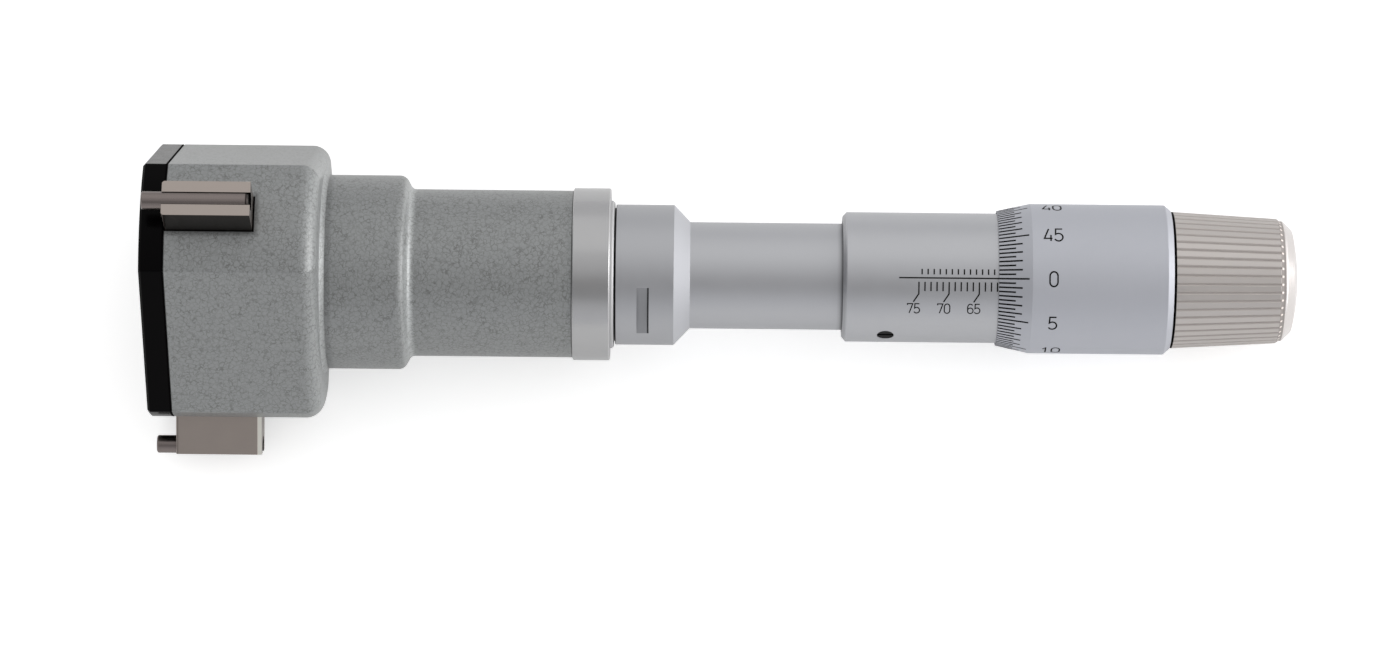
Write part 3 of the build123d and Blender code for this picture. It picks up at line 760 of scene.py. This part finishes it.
def crazing(tree, place, cell, outline_width, slope_width):
    """Outlines of irregular cells: 1 on an outline and 0 away from it, and a height that sinks towards it.

    The outlines are the places near the edges of the cells. Their place is first bent by a slow noise.
    """
    bend_pace, bend_detail, bend_size = 1.6, 3, 1.1
    bend = add_node(
        tree, "ShaderNodeTexNoise", {"Vector": place, "Scale": bend_pace, "Detail": bend_detail}
    ).outputs["Color"]
    moved = add_node(
        tree, "ShaderNodeVectorMath", {0: bend, 1: (bend_size,) * 3}, operation="MULTIPLY"
    ).outputs[0]
    bent = add_node(tree, "ShaderNodeVectorMath", {0: place, 1: moved}, operation="ADD").outputs[0]
    from_edge = add_node(
        tree, "ShaderNodeTexVoronoi", {"Vector": bent, "Scale": MM / cell}, feature="DISTANCE_TO_EDGE"
    ).outputs["Distance"]
    line = carry(tree, from_edge, (0, outline_width), (1, 0), interpolation_type="SMOOTHSTEP")
    rise = carry(tree, from_edge, (0, slope_width), (0, 1), interpolation_type="SMOOTHSTEP")
    return line, rise


def slot_shade(tree):
    """Painted shade in the three slots of the jaws: black walls, and darker paint round their edges.

    The distance from a slot is the larger of those beside it and behind it, and behind the axis it is large.
    """
    nearest = 100.0
    for turn_back in JAW_TURNS.values():
        place = coordinates(tree, turn_back)
        beside = maths(tree, "SUBTRACT", maths(tree, "ABSOLUTE", place["Y"]), SLOT_HALF_WIDTH)
        behind = maths(tree, "SUBTRACT", place["X"], SLOT_BACK)
        below = product(tree, place["Z"], -1)
        away = maths(tree, "MAXIMUM", maths(tree, "MAXIMUM", beside, behind), below)
        nearest = maths(tree, "MINIMUM", nearest, away)
    return level_between(tree, nearest, SLOT_EDGE)


def hammer_paint():
    """Hammer finish enamel: an even satin grey, crazed by fine outlines that are darker in patches.

    It carries painted highlights over the head's rear edge and the boss's shoulder, and painted shade round
    the jaws' slots and along the seams with the cover and with the ring.
    """
    look = finishes()
    body_levels, roughness, metal_share = (0.8, 1.2), (0.3, 0.42), 0.3
    outline_width, slope_width = 0.13, 0.4
    patch_noise, patch_strength = (0.36, 0.66), (0.3, 0.9)
    made, tree, shader = new_material("hammertone_paint")
    line, rise = crazing(tree, object_place(tree), look.paint_cell, outline_width, slope_width)
    patches = noise(tree, object_place(tree, PAINT_PATCHES), detail=2)
    patch = carry(tree, patches, patch_noise, patch_strength)
    cloud = noise(tree, object_place(tree, PAINT_CLOUDS), detail=5, rough=0.75)
    x = coordinates(tree)["X"]
    # Painted shade in the joints with the cover and with the ring
    seam = maths(tree, "MAXIMUM", rise_between(tree, x, *NECK_SEAM), rise_between(tree, x, *COVER_SEAM))
    # Painted highlights over the head's rear edge and the boss's shoulder, and painted shade round the jaws'
    # slots
    painted_light = product(tree, level_between(tree, x, PAINT_EDGES), slot_shade(tree))
    level = product(tree, spread(tree, cloud, *body_levels), painted_light, shaded(tree, paint_seam=seam))
    body, outline = tint(tree, look.paint_body, level), tint(tree, look.paint_outline, painted_light)
    tree.links.new(mixed(tree, product(tree, line, patch), body, outline), shader.inputs["Base Color"])
    tree.links.new(spread(tree, cloud, *roughness), shader.inputs["Roughness"])
    tree.links.new(bump(tree, rise, PAINT_CELL_DEPTH), shader.inputs["Normal"])
    shader.inputs["Metallic"].default_value = metal_share
    return made


def black_coat(name, colour, pace, detail, levels, roughness, shine, depth=None, matt=None):
    """A black coat whose colour, roughness and height follow one noise.

    levels and roughness are the ranges of the colour's level and of the roughness, and shine is the specular
    level. depth is that of the noise, and matt makes a value that is added to the roughness.
    """
    made, tree, shader = new_material(name)
    grain = noise(tree, object_place(tree, pace), detail)
    rough = spread(tree, grain, *roughness)
    if matt:
        rough = maths(tree, "ADD", rough, matt(tree))
    tree.links.new(tint(tree, colour, spread(tree, grain, *levels)), shader.inputs["Base Color"])
    tree.links.new(rough, shader.inputs["Roughness"])
    if depth:
        tree.links.new(bump(tree, grain, depth), shader.inputs["Normal"])
    shader.inputs["Specular IOR Level"].default_value = shine
    return made


def enamel_matt(tree):
    """A dull rear edge."""
    return dulled(tree, "cover_edge", rise_between(tree, coordinates(tree)["X"], *COVER_EDGE))


def black_enamel():
    """Gloss black enamel with a faint unevenness, and dull along its rear edge."""
    return black_coat(
        "black_enamel", finishes().enamel, ENAMEL_SKIN, detail=3, levels=(0.8, 1.2),
        roughness=(0.16, 0.24), shine=0.04, depth=ENAMEL_SKIN_DEPTH, matt=enamel_matt,
    )


def blackened_steel():
    """Matt black steel of the small screws."""
    return black_coat(
        "blackened_steel", finishes().blackened_steel, BLACKING_GRAIN, detail=3, levels=(0.7, 1.3),
        roughness=(0.4, 0.6), shine=0.1, depth=BLACKING_DEPTH,
    )


def ink():
    """Dull black in the engraved lines."""
    return black_coat(
        "scale_ink", finishes().ink, INK_GRAIN, detail=2, levels=(0.8, 1.4), roughness=(0.5, 0.7), shine=0.1
    )


def dress(material, *nodes):
    """Gives that material to each of those CAD nodes."""
    for node in nodes:
        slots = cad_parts[node].data.materials
        slots.clear()
        slots.append(material)


# Lines and figures on a turned surface


def stretch_out(paths, count):
    """Each straight path of two points as count points, evenly spaced."""
    steps = np.linspace(0, 1, count)[None, :, None]
    return paths[:, :1] * (1 - steps) + paths[:, 1:] * steps


def arc(middle_x, middle_y, wide, high, first, last, count=14):
    """Part of an ellipse, from the first to the last angle in degrees."""
    turn = np.radians(np.linspace(first, last, count))
    return np.stack([middle_x + wide * np.cos(turn), middle_y + high * np.sin(turn)], 1)


def run(*points):
    """A run of straight strokes through the points."""
    return np.array(points, float)


def figure_strokes(figure):
    """The strokes of a figure from 0 to 7, the ones that the scales need, in a square of side 1."""
    if figure == 0:
        top, foot = arc(0.5, 0.7, 0.5, 0.3, 0, 180), arc(0.5, 0.3, 0.5, 0.3, 180, 360)
        return [np.concatenate([top, foot, top[:2]])]
    if figure == 1:
        return [run((0.15, 0.78), (0.55, 1), (0.55, 0))]
    if figure == 2:
        return [np.concatenate([arc(0.5, 0.7, 0.48, 0.3, 175, -35), run((0, 0), (1, 0))])]
    if figure == 3:
        top, foot = arc(0.46, 0.75, 0.44, 0.25, 155, -90), arc(0.48, 0.26, 0.52, 0.26, 90, -155)
        return [np.concatenate([top, foot[1:]])]
    if figure == 4:
        return [run((0.55, 1), (0.0, 0.2), (1, 0.2)), run((0.82, 0.48), (0.82, 0))]
    if figure == 5:
        bowl = arc(0.46, 0.31, 0.54, 0.31, 135, -150)
        return [np.concatenate([run((0.94, 1), (0.12, 1), (0.08, 0.55)), bowl])]
    if figure == 6:
        top, bowl = arc(0.5, 0.66, 0.5, 0.34, 40, 180), arc(0.5, 0.3, 0.5, 0.3, 180, -180, 28)
        return [np.concatenate([top, bowl])]
    return [run((0.02, 0.86), (0.02, 1), (0.98, 1), (0.36, 0))]


def split(path, parts=4):
    """The path with each straight step cut into equal parts, so that it can follow a round surface."""
    steps = np.arange(parts)[None, :, None] / parts
    cut = path[:-1, None] * (1 - steps) + path[1:, None] * steps
    return np.concatenate([cut.reshape(-1, 2), path[-1:]])


def label_strokes(number, width, height, gap):
    """The strokes of a number round its own middle, as a list of paths in metres."""
    text = str(number)
    start = -(len(text) * width + (len(text) - 1) * gap) / 2
    made = []
    for place, figure in enumerate(text):
        corner = np.array([start + place * (width + gap), -height / 2])
        made += [split(stroke) * (width, height) + corner for stroke in figure_strokes(int(figure))]
    return made


def ribbons(paths, width):
    """Corners of flat ribbons along paths, which is an array of paths x points x 2.

    Each point's left and right corner lie on the line that halves the angle of the two runs that meet there,
    half a width from both, and no further out than at a bend of 120 degrees. The result is paths x points x
    2 sides x 2 coordinates.
    """
    least_cosine = 0.5
    steps = np.diff(paths, axis=1)
    ahead = steps / np.linalg.norm(steps, axis=2, keepdims=True)
    before = np.concatenate([ahead[:, :1], ahead], 1)
    after = np.concatenate([ahead, ahead[:, -1:]], 1)
    middle = before + after
    middle /= np.linalg.norm(middle, axis=2, keepdims=True)
    cosine = np.maximum((middle * after).sum(2, keepdims=True), least_cosine)
    side = np.stack([-middle[..., 1], middle[..., 0]], 2) / cosine * width / 2
    return np.stack([paths + side, paths - side], 2)


def wrapped(flat, radius_at, start_angle, proud, sunk):
    """Ribbons laid on a surface turned about X, as solid bars.

    A flat point is (place along X, distance round the surface). Its angle is that distance over the radius,
    and its radius is the surface's, plus proud for the top and less sunk for the bottom. The four rows of
    corners of a bar are its left bottom, left top, right top and right bottom.
    """
    x, around = flat[..., 0], flat[..., 1]
    radius = radius_at(x)
    turn = start_angle - around / radius
    rows = []
    for side, lift in ((0, -sunk), (0, proud), (1, proud), (1, -sunk)):
        r, a = radius[..., side] + lift, turn[..., side]
        rows.append(np.stack([x[..., side], -r * np.sin(a), r * np.cos(a)], -1))
    return np.stack(rows, 2)


def bar_faces(bars, points):
    """Faces of bars with closed ends, whose corners are numbered bar by bar, then by point, then by row."""
    first = np.arange(bars)[:, None, None] * points * 4
    along = np.arange(points - 1)[None, :, None] * 4
    row = np.arange(4)[None, None, :]
    beside = (row + 1) % 4
    sides = np.stack([row, beside, beside + 4, row + 4], -1) + (first + along)[..., None]
    starts = first[:, 0] + np.array([3, 2, 1, 0])
    ends = first[:, 0] + (points - 1) * 4 + np.array([0, 1, 2, 3])
    return np.concatenate([sides.reshape(-1, 4), starts, ends])


def add_object(name, corners, faces, material):
    """An object at the origin, with that mesh and material."""
    mesh = bpy.data.meshes.new(name)
    mesh.from_pydata(corners.tolist(), [], faces)
    mesh.validate()
    mesh.materials.append(material)
    made = bpy.data.objects.new(name, mesh)
    bpy.context.scene.collection.objects.link(made)
    return made


def add_marks(name, groups):
    """One object of all the bars. Each group is an array of bars x points x 4 rows x 3 coordinates."""
    places, faces, count = [], [], 0
    for group in groups:
        bars, points = group.shape[:2]
        places.append(group.reshape(-1, 3))
        faces.append(bar_faces(bars, points) + count)
        count += bars * points * 4
    return add_object(name, np.concatenate(places), np.concatenate(faces).tolist(), ink())


def sleeve_marks():
    """Flat paths of the sleeve's marks, each with its width. Distances round it go up the picture."""
    size = scales()
    top_line = box_ends("graduated_sleeve", 0)[0] + size.top_reading_back
    readings = np.arange(HIGHEST_READING, LOWEST_READING - 1, -1)
    numbered = readings % FIGURE_EVERY == 0
    whole = top_line + (HIGHEST_READING - readings) * MM
    ends = [(top_line - size.datum_ahead, 0), (THIMBLE_FRONT + size.datum_behind, 0)]
    marks = [(np.array([ends]), size.sleeve_line)]
    near = np.full_like(whole, -size.lower_near)
    far = near - size.lower_length
    plain = np.stack([np.stack([whole, near], 1), np.stack([whole, far], 1)], 1)[~numbered]
    marks.append((stretch_out(plain, WHOLE_LINE_POINTS), size.sleeve_line))
    half = whole[:-1] + MM / 2
    near = np.full_like(half, size.upper_near)
    upper = np.stack([np.stack([half, near], 1), np.stack([half, near + size.upper_length], 1)], 1)
    marks.append((stretch_out(upper, HALF_LINE_POINTS), size.sleeve_line))
    for x, reading in zip(whole[numbered], readings[numbered]):
        bend = -size.lower_near - size.leader_straight
        foot = (x - size.leader_back, bend - size.leader_drop)
        straight = stretch_out(np.array([[(x, -size.lower_near), (x, bend)]]), LEADER_POINTS)
        slant = stretch_out(np.array([[(x, bend), foot]]), SLANT_POINTS)
        marks.append((np.concatenate([straight, slant[:, 1:]], 1), size.sleeve_line))
        middle = np.array([x - size.sleeve_figure_back, -size.sleeve_figure_drop])
        for stroke in label_strokes(
            reading, size.sleeve_figure_width, size.sleeve_figure_height, size.sleeve_figure_gap
        ):
            marks.append(((stroke + middle)[None], size.sleeve_stroke))
    return marks


def sleeve_radius(x):
    """Radius of the sleeve's outside, which is the same at every x."""
    return np.full_like(x, SLEEVE_RADIUS)


def thimble_radius(x):
    """Radius of the thimble's outside at x: a cone from its front edge, and then a cylinder."""
    slope = (THIMBLE_RADIUS - THIMBLE_EDGE_RADIUS) / THIMBLE_CONE_LENGTH
    return np.minimum(THIMBLE_EDGE_RADIUS + (x - THIMBLE_FRONT) * slope, THIMBLE_RADIUS)


def thimble_groups():
    """Bars of the thimble's lines and figures."""
    size = scales()
    order = np.arange(size.divisions)
    lines_per_figure = FIGURE_EVERY * size.divisions // READINGS_ROUND_THIMBLE
    plain = np.where(order % 2 == 0, size.even_line, size.odd_line)
    ends = np.where(order % lines_per_figure == 0, size.tenth_line, plain)
    turns = size.datum_angle + order * 2 * pi / size.divisions
    start = np.stack([np.full(size.divisions, THIMBLE_FRONT), np.zeros(size.divisions)], 1)
    stop = np.stack([THIMBLE_FRONT + ends, np.zeros(size.divisions)], 1)
    flat = ribbons(np.stack([start, stop], 1), size.thimble_line)
    groups = [wrapped(flat, thimble_radius, turns[:, None, None], size.proud, size.sunk)]
    middle = np.array([THIMBLE_FRONT + size.thimble_figure_back, 0])
    for reading in range(0, READINGS_ROUND_THIMBLE, FIGURE_EVERY):
        turn = size.datum_angle + reading * 2 * pi / READINGS_ROUND_THIMBLE
        for stroke in label_strokes(
            reading, size.thimble_figure_width, size.thimble_figure_height, size.thimble_figure_gap
        ):
            flat = ribbons((stroke + middle)[None], size.thimble_stroke)
            groups.append(wrapped(flat, thimble_radius, turn, size.proud, size.sunk))
    return groups


# Springs


def jaw_direction(place):
    """The direction in which that jaw moves out."""
    turn = radians(JAW_TURNS[place])
    return Vector((0, -sin(turn), cos(turn)))


def spring_ends(place):
    """How far out from the axis both ends of that jaw's spring lie, and its middle's X."""
    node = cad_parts[f"jaw_spring_{place}"]
    corners = np.empty(len(node.data.vertices) * 3)
    node.data.vertices.foreach_get("co", corners)
    corners = corners.reshape(-1, 3)
    along = corners @ np.array(jaw_direction(place))
    return along.min(), along.max(), (corners[:, 0].min() + corners[:, 0].max()) / 2


def coil_heights(turn, height, turns, closed):
    """Rise of the wire's middle at each turn, from 0 to height.

    The rise of one turn is the closed pitch over the closed part at each end, and it grows to the open
    pitch over the growing part beside it. The open pitch follows from the height that is left.
    """
    closed_part, growing_part = 0.6, 0.5
    after_start = np.clip((turn - closed_part) / growing_part, 0, 1)
    before_end = np.clip((turns - closed_part - turn) / growing_part, 0, 1)
    open_share = after_start * before_end
    steps = (open_share[1:] + open_share[:-1]) / 2 * np.diff(turn)
    opened = np.concatenate([[0], np.cumsum(steps)])
    return closed * turn + opened / opened[-1] * (height - closed * turns)


def coil_surface(height, outside, wire, turns, closed, steps=36, sides=10):
    """Corners and faces of a wound wire round Z, from Z = 0 to height, with both ends closed.

    The wire's middle goes round a circle while it rises. Round each of its places lies a ring, square to the
    wire's direction, whose corners are the wire's radius away. Flat faces join each ring to the next one.
    """
    radius = (outside - wire) / 2
    turn = np.linspace(0, turns, turns * steps + 1)
    rise = wire / 2 + coil_heights(turn, height - wire, turns, closed)
    round_z = turn * 2 * pi
    middle = np.stack([radius * np.cos(round_z), radius * np.sin(round_z), rise], 1)
    outward = np.stack([np.cos(round_z), np.sin(round_z), np.zeros_like(turn)], 1)
    ahead = np.gradient(middle, axis=0)
    ahead /= np.linalg.norm(ahead, axis=1, keepdims=True)
    beside = np.cross(ahead, outward)
    beside /= np.linalg.norm(beside, axis=1, keepdims=True)
    round_wire = (np.arange(sides) * 2 * pi / sides)[:, None]
    across = np.cos(round_wire) * outward[:, None] + np.sin(round_wire) * beside[:, None]
    corners = middle[:, None] + wire / 2 * across
    ring = np.arange(len(turn) - 1)[:, None] * sides
    corner = np.arange(sides)[None, :]
    after = (corner + 1) % sides
    quads = np.stack([ring + corner, ring + after, ring + after + sides, ring + corner + sides], -1)
    last = (len(turn) - 1) * sides
    ends = [list(range(sides - 1, -1, -1)), list(range(last, last + sides))]
    return corners.reshape(-1, 3), quads.reshape(-1, 4).tolist() + ends


def turned_out(corners, place, start, middle_x):
    """Corners of a shape round Z, laid round that jaw's direction with its foot that far from the axis."""
    turn = radians(JAW_TURNS[place])
    out = corners[:, 2] + start
    return np.stack([
        corners[:, 0] + middle_x,
        corners[:, 1] * cos(turn) - out * sin(turn),
        corners[:, 1] * sin(turn) + out * cos(turn),
    ], 1)


# Studio


def floor_material(stage):
    """Plain pale floor. The camera sees it near white, with the object's shadow on it."""
    made, tree, shader = new_material("studio_floor")
    shader.inputs["Base Color"].default_value = (*stage.floor, 1)
    shader.inputs["Roughness"].default_value = stage.floor_rough
    shader.inputs["Emission Color"].default_value = (1, 1, 1, 1)
    path = add_node(tree, "ShaderNodeLightPath").outputs
    seen = product(tree, path["Is Camera Ray"], stage.floor_glow)
    glow = maths(tree, "MULTIPLY_ADD", path["Is Glossy Ray"], stage.floor_gloss, seen)
    tree.links.new(glow, shader.inputs["Emission Strength"])
    return made


def direction(lean):
    """A direction square to X that is that far round from the near side over the top."""
    return Vector((0, -cos(lean), sin(lean)))


def area_lamp(name, way, target, size, watts, colour):
    """A rectangular lamp that hangs that way from the target, faces it and isn't seen by the camera."""
    data = bpy.data.lights.new(name, "AREA")
    data.shape = "RECTANGLE"
    data.size, data.size_y = size
    data.energy = watts
    data.color = colour
    made = bpy.data.objects.new(name, data)
    bpy.context.scene.collection.objects.link(made)
    made.location = target + way * LAMP_DISTANCE
    made.rotation_mode = "QUATERNION"
    made.rotation_quaternion = (-way).to_track_quat("-Z", "Y")
    made.visible_camera = False


# Operators


class PaintHead(Operator):
    """Paint the head and its cover, and blacken the small screws"""

    bl_idname = "micrometer.paint_head"
    bl_label = "Head and cover"

    def execute(self, context):
        dress(hammer_paint(), "head_body")
        dress(black_enamel(), "front_cover")
        dress(blackened_steel(), "sleeve_set_screw", "cover_screw_top", "cover_screw_near", "cover_screw_far")
        return {"FINISHED"}


class FinishJaws(Operator):
    """Finish the jaws and their pins"""

    bl_idname = "micrometer.finish_jaws"
    bl_label = "Jaws"

    def execute(self, context):
        look = finishes()
        carbide = ground("carbide", look.carbide, look.carbide_rough, shade=pin_shade)
        for place, turn_back in JAW_TURNS.items():
            shade = jaw_shade(turn_back)
            steel = ground(f"ground_steel_{place}", look.ground_steel, look.ground_rough, shade=shade)
            dress(steel, f"jaw_{place}")
            dress(carbide, f"carbide_pin_{place}")
        return {"FINISHED"}


class WindSprings(Operator):
    """Wind the three springs that push the jaws back in"""

    bl_idname = "micrometer.wind_springs"
    bl_label = "Jaw springs"

    def execute(self, context):
        size = springs()
        look = finishes()
        wire = turned("spring_steel", look.hardened_steel, look.wire_rough)
        for place in JAW_TURNS:
            start, end, middle_x = spring_ends(place)
            corners, faces = coil_surface(end - start, size.outside, size.wire, size.turns, size.closed_pitch)
            made = add_object(
                f"wound_spring_{place}", turned_out(corners, place, start, middle_x), faces, wire
            )
            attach(made, "root")
            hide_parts(f"jaw_spring_{place}")
            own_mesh(made)
        return {"FINISHED"}


class FinishBarrel(Operator):
    """Finish the lock ring, the tube, the sleeve and the thimble"""

    bl_idname = "micrometer.finish_barrel"
    bl_label = "Ring, tube and thimble"

    def execute(self, context):
        look = finishes()
        ring = turned("satin_ring", look.satin_ring, look.ring_rough, shade=ring_shade, matt=ring_matt)
        tube = turned("satin_tube", look.satin_chrome, look.tube_rough, shade=tube_shade, matt=tube_matt)
        sleeve = turned("satin_sleeve", look.satin_chrome, look.sleeve_rough, shade=sleeve_shade)
        thimble = turned("satin_thimble", look.satin_thimble, look.thimble_rough, shade=thimble_shade)
        dress(ring, "lock_ring")
        dress(tube, "body_tube")
        dress(sleeve, "graduated_sleeve")
        dress(thimble, "thimble")
        return {"FINISHED"}


class FinishDrive(Operator):
    """Finish the drive inside: cone, rod, spindle, nuts, bushes and the ratchet's parts"""

    bl_idname = "micrometer.finish_drive"
    bl_label = "Drive inside"

    def execute(self, context):
        look = finishes()
        dress(
            ground("hardened_steel", look.hardened_steel, look.ground_rough),
            "measuring_cone", "thrust_ball", "spindle", "ratchet_hub", "pawl_ring",
        )
        dress(
            turned("turned_steel", look.turned_steel, look.ground_rough),
            "push_rod", "spindle_nut", "adjusting_nut", "ratchet_screw", "ratchet_washer",
        )
        dress(turned("bronze", look.bronze, look.ground_rough), "front_rod_bush", "rear_rod_bush")
        return {"FINISHED"}


class FinishRatchet(Operator):
    """Finish the ratchet's knob, cap and spring"""

    bl_idname = "micrometer.finish_ratchet"
    bl_label = "Ratchet"

    def execute(self, context):
        look = finishes()
        knob = turned("nickel_silver", look.nickel_silver, look.knob_rough, shade=knob_shade, matt=knob_matt)
        dress(knob, "ratchet_knob")
        dress(turned("polished_nickel", look.polished_nickel, look.cap_rough), "end_cap")
        dress(turned("drawn_wire", look.hardened_steel, look.wire_rough), "ratchet_spring")
        return {"FINISHED"}


class EngraveSleeve(Operator):
    """Draw the millimetre scale on the sleeve"""

    bl_idname = "micrometer.engrave_sleeve"
    bl_label = "Sleeve scale"

    def execute(self, context):
        size = scales()
        groups = [
            wrapped(ribbons(paths, width), sleeve_radius, size.datum_angle, size.proud, size.sunk)
            for paths, width in sleeve_marks()
        ]
        made = add_marks("sleeve_scale", groups)
        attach(made, "root")
        return {"FINISHED"}


class EngraveThimble(Operator):
    """Draw the hundred divisions and their numbers on the thimble"""

    bl_idname = "micrometer.engrave_thimble"
    bl_label = "Thimble scale"

    def execute(self, context):
        made = add_marks("thimble_scale", thimble_groups())
        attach(made, "thimble")
        return {"FINISHED"}


class BuildStage(Operator):
    """Lay the floor, light the instrument and set the camera"""

    bl_idname = "micrometer.build_stage"
    bl_label = "Studio"

    def execute(self, context):
        stage = context.scene.micrometer_stage
        self.lay_floor(stage)
        self.set_sky(context, stage)
        self.hang_lamps(stage)
        self.set_camera(context, stage)
        context.scene.view_settings.view_transform = "Standard"
        return {"FINISHED"}

    def lay_floor(self, stage):
        """A flat floor under the two points that the instrument rests on: its head's flat and its thimble.

        Its height is a straight function of X through both, so it slopes as the table does from the
        instrument's side.
        """
        slope = (AXIS_TO_FLAT - THIMBLE_RADIUS) / (REST_BACK - REST_FRONT)
        grid = np.linspace(-FLOOR_HALF, FLOOR_HALF, FLOOR_LINES)
        x, y = np.meshgrid(grid, grid)
        z = -AXIS_TO_FLAT + slope * (x - REST_FRONT) - FLOOR_GAP
        order = np.arange(FLOOR_LINES ** 2).reshape(FLOOR_LINES, FLOOR_LINES)
        faces = np.stack([order[:-1, :-1], order[:-1, 1:], order[1:, 1:], order[1:, :-1]], -1).reshape(-1, 4)
        corners = np.stack([x, y, z], -1).reshape(-1, 3)
        made = add_object("studio_floor", corners, faces.tolist(), floor_material(stage))

    def set_sky(self, context, stage):
        """Even light from all round, which the camera and glass see as white.

        Reflections see a light tent. Its level changes with the lean of the direction, with the dark gap
        through which the camera looks, and it grows towards the ratchet, where a brighter panel stands.
        """
        world = bpy.data.worlds.new("studio_sky")
        context.scene.world = world
        world.use_nodes = True
        tree = world.node_tree
        tree.nodes.clear()
        path = add_node(tree, "ShaderNodeLightPath").outputs
        place = add_node(tree, "ShaderNodeTexCoord").outputs["Generated"]
        way = add_node(tree, "ShaderNodeSeparateXYZ", {"Vector": place}).outputs
        lean = maths(tree, "ARCTAN2", way["Z"], product(tree, way["Y"], -1))
        tent = ramp_between(tree, maths(tree, "DEGREES", lean), TENT)
        panel = product(tree, rise_between(tree, way["X"], *PANEL_EDGE), PANEL_LEVEL)
        along = maths(tree, "ADD", carry(tree, way["X"], (-1, 1), TENT_ALONG), panel)
        lit = add_node(tree, "ShaderNodeVectorMath", {0: tent, "Scale": along}, operation="SCALE")
        sky = mixed(tree, path["Is Glossy Ray"], (stage.sky,) * 3 + (1,), lit.outputs["Vector"])
        seen = maths(tree, "MAXIMUM", path["Is Camera Ray"], path["Is Transmission Ray"])
        colour = mixed(tree, seen, sky, (1, 1, 1, 1))
        light = add_node(tree, "ShaderNodeBackground", {"Color": colour, "Strength": 1})
        add_node(tree, "ShaderNodeOutputWorld", {"Surface": light.outputs[0]})

    def hang_lamps(self, stage):
        """A large lamp over the far side and one past the ratchet."""
        middle = Vector((stage.aim, 0, 0))
        past = Vector((SIDE_PAST_RATCHET, 0, 0)) + direction(stage.lean) * SIDE_TO_CAMERA
        area_lamp("key_lamp", direction(radians(KEY_LEAN)), middle, KEY_SIZE, stage.key, KEY_COLOUR)
        area_lamp("side_lamp", past.normalized(), middle, SIDE_SIZE, stage.side, SIDE_COLOUR)

    def set_camera(self, context, stage):
        """The camera looks square at the axis from the near side and above, with a small roll."""
        facing = direction(stage.lean)
        across = Vector((0, facing.z, -facing.y))
        right = Vector((cos(stage.roll), 0, 0)) + across * sin(stage.roll)
        up = across * cos(stage.roll) - Vector((sin(stage.roll), 0, 0))
        data = bpy.data.cameras.new("studio_camera")
        data.sensor_width = SENSOR_WIDTH
        data.lens = stage.lens
        data.clip_start, data.clip_end = NEAR_END, FAR_END
        made = bpy.data.objects.new("studio_camera", data)
        context.scene.collection.objects.link(made)
        place = Vector((stage.aim, 0, 0)) + facing * stage.distance - up * stage.shift_down
        turn = Matrix((right, up, facing)).transposed()
        made.matrix_world = Matrix.Translation(place) @ turn.to_4x4()
        context.scene.camera = made


OPERATORS = (
    PaintHead, FinishJaws, WindSprings, FinishBarrel, FinishDrive, FinishRatchet,
    EngraveSleeve, EngraveThimble, BuildStage,
)

SETTINGS = {
    "micrometer_scales": ScaleSettings,
    "micrometer_springs": SpringSettings,
    "micrometer_finishes": FinishSettings,
    "micrometer_stage": StageSettings,
}


class MicrometerPanel(Panel):
    """Lists the steps that dress the micrometer, and their settings"""

    bl_idname = "VIEW3D_PT_micrometer"
    bl_label = "Micrometer"
    bl_space_type = "VIEW_3D"
    bl_region_type = "UI"
    bl_category = "Micrometer"

    def draw(self, context):
        for step in OPERATORS:
            self.layout.operator(step.bl_idname)
        for settings in SETTINGS:
            group = getattr(context.scene, settings)
            part = self.layout.box()
            for name in type(group).__annotations__:
                part.prop(group, name)


def register():
    """Registers the settings, the operators and the panel."""
    for made in (*SETTINGS.values(), *OPERATORS, MicrometerPanel):
        bpy.utils.register_class(made)
    for name, group in SETTINGS.items():
        setattr(bpy.types.Scene, name, PointerProperty(type=group))


def unregister():
    """Takes away what register added."""
    for name in SETTINGS:
        delattr(bpy.types.Scene, name)
    for made in reversed((*SETTINGS.values(), *OPERATORS, MicrometerPanel)):
        bpy.utils.unregister_class(made)


def main():
    """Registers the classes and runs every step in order."""
    register()
    for step in OPERATORS:
        group, name = step.bl_idname.split(".")
        getattr(getattr(bpy.ops, group), name)()


if __name__ == "__main__":
    main()
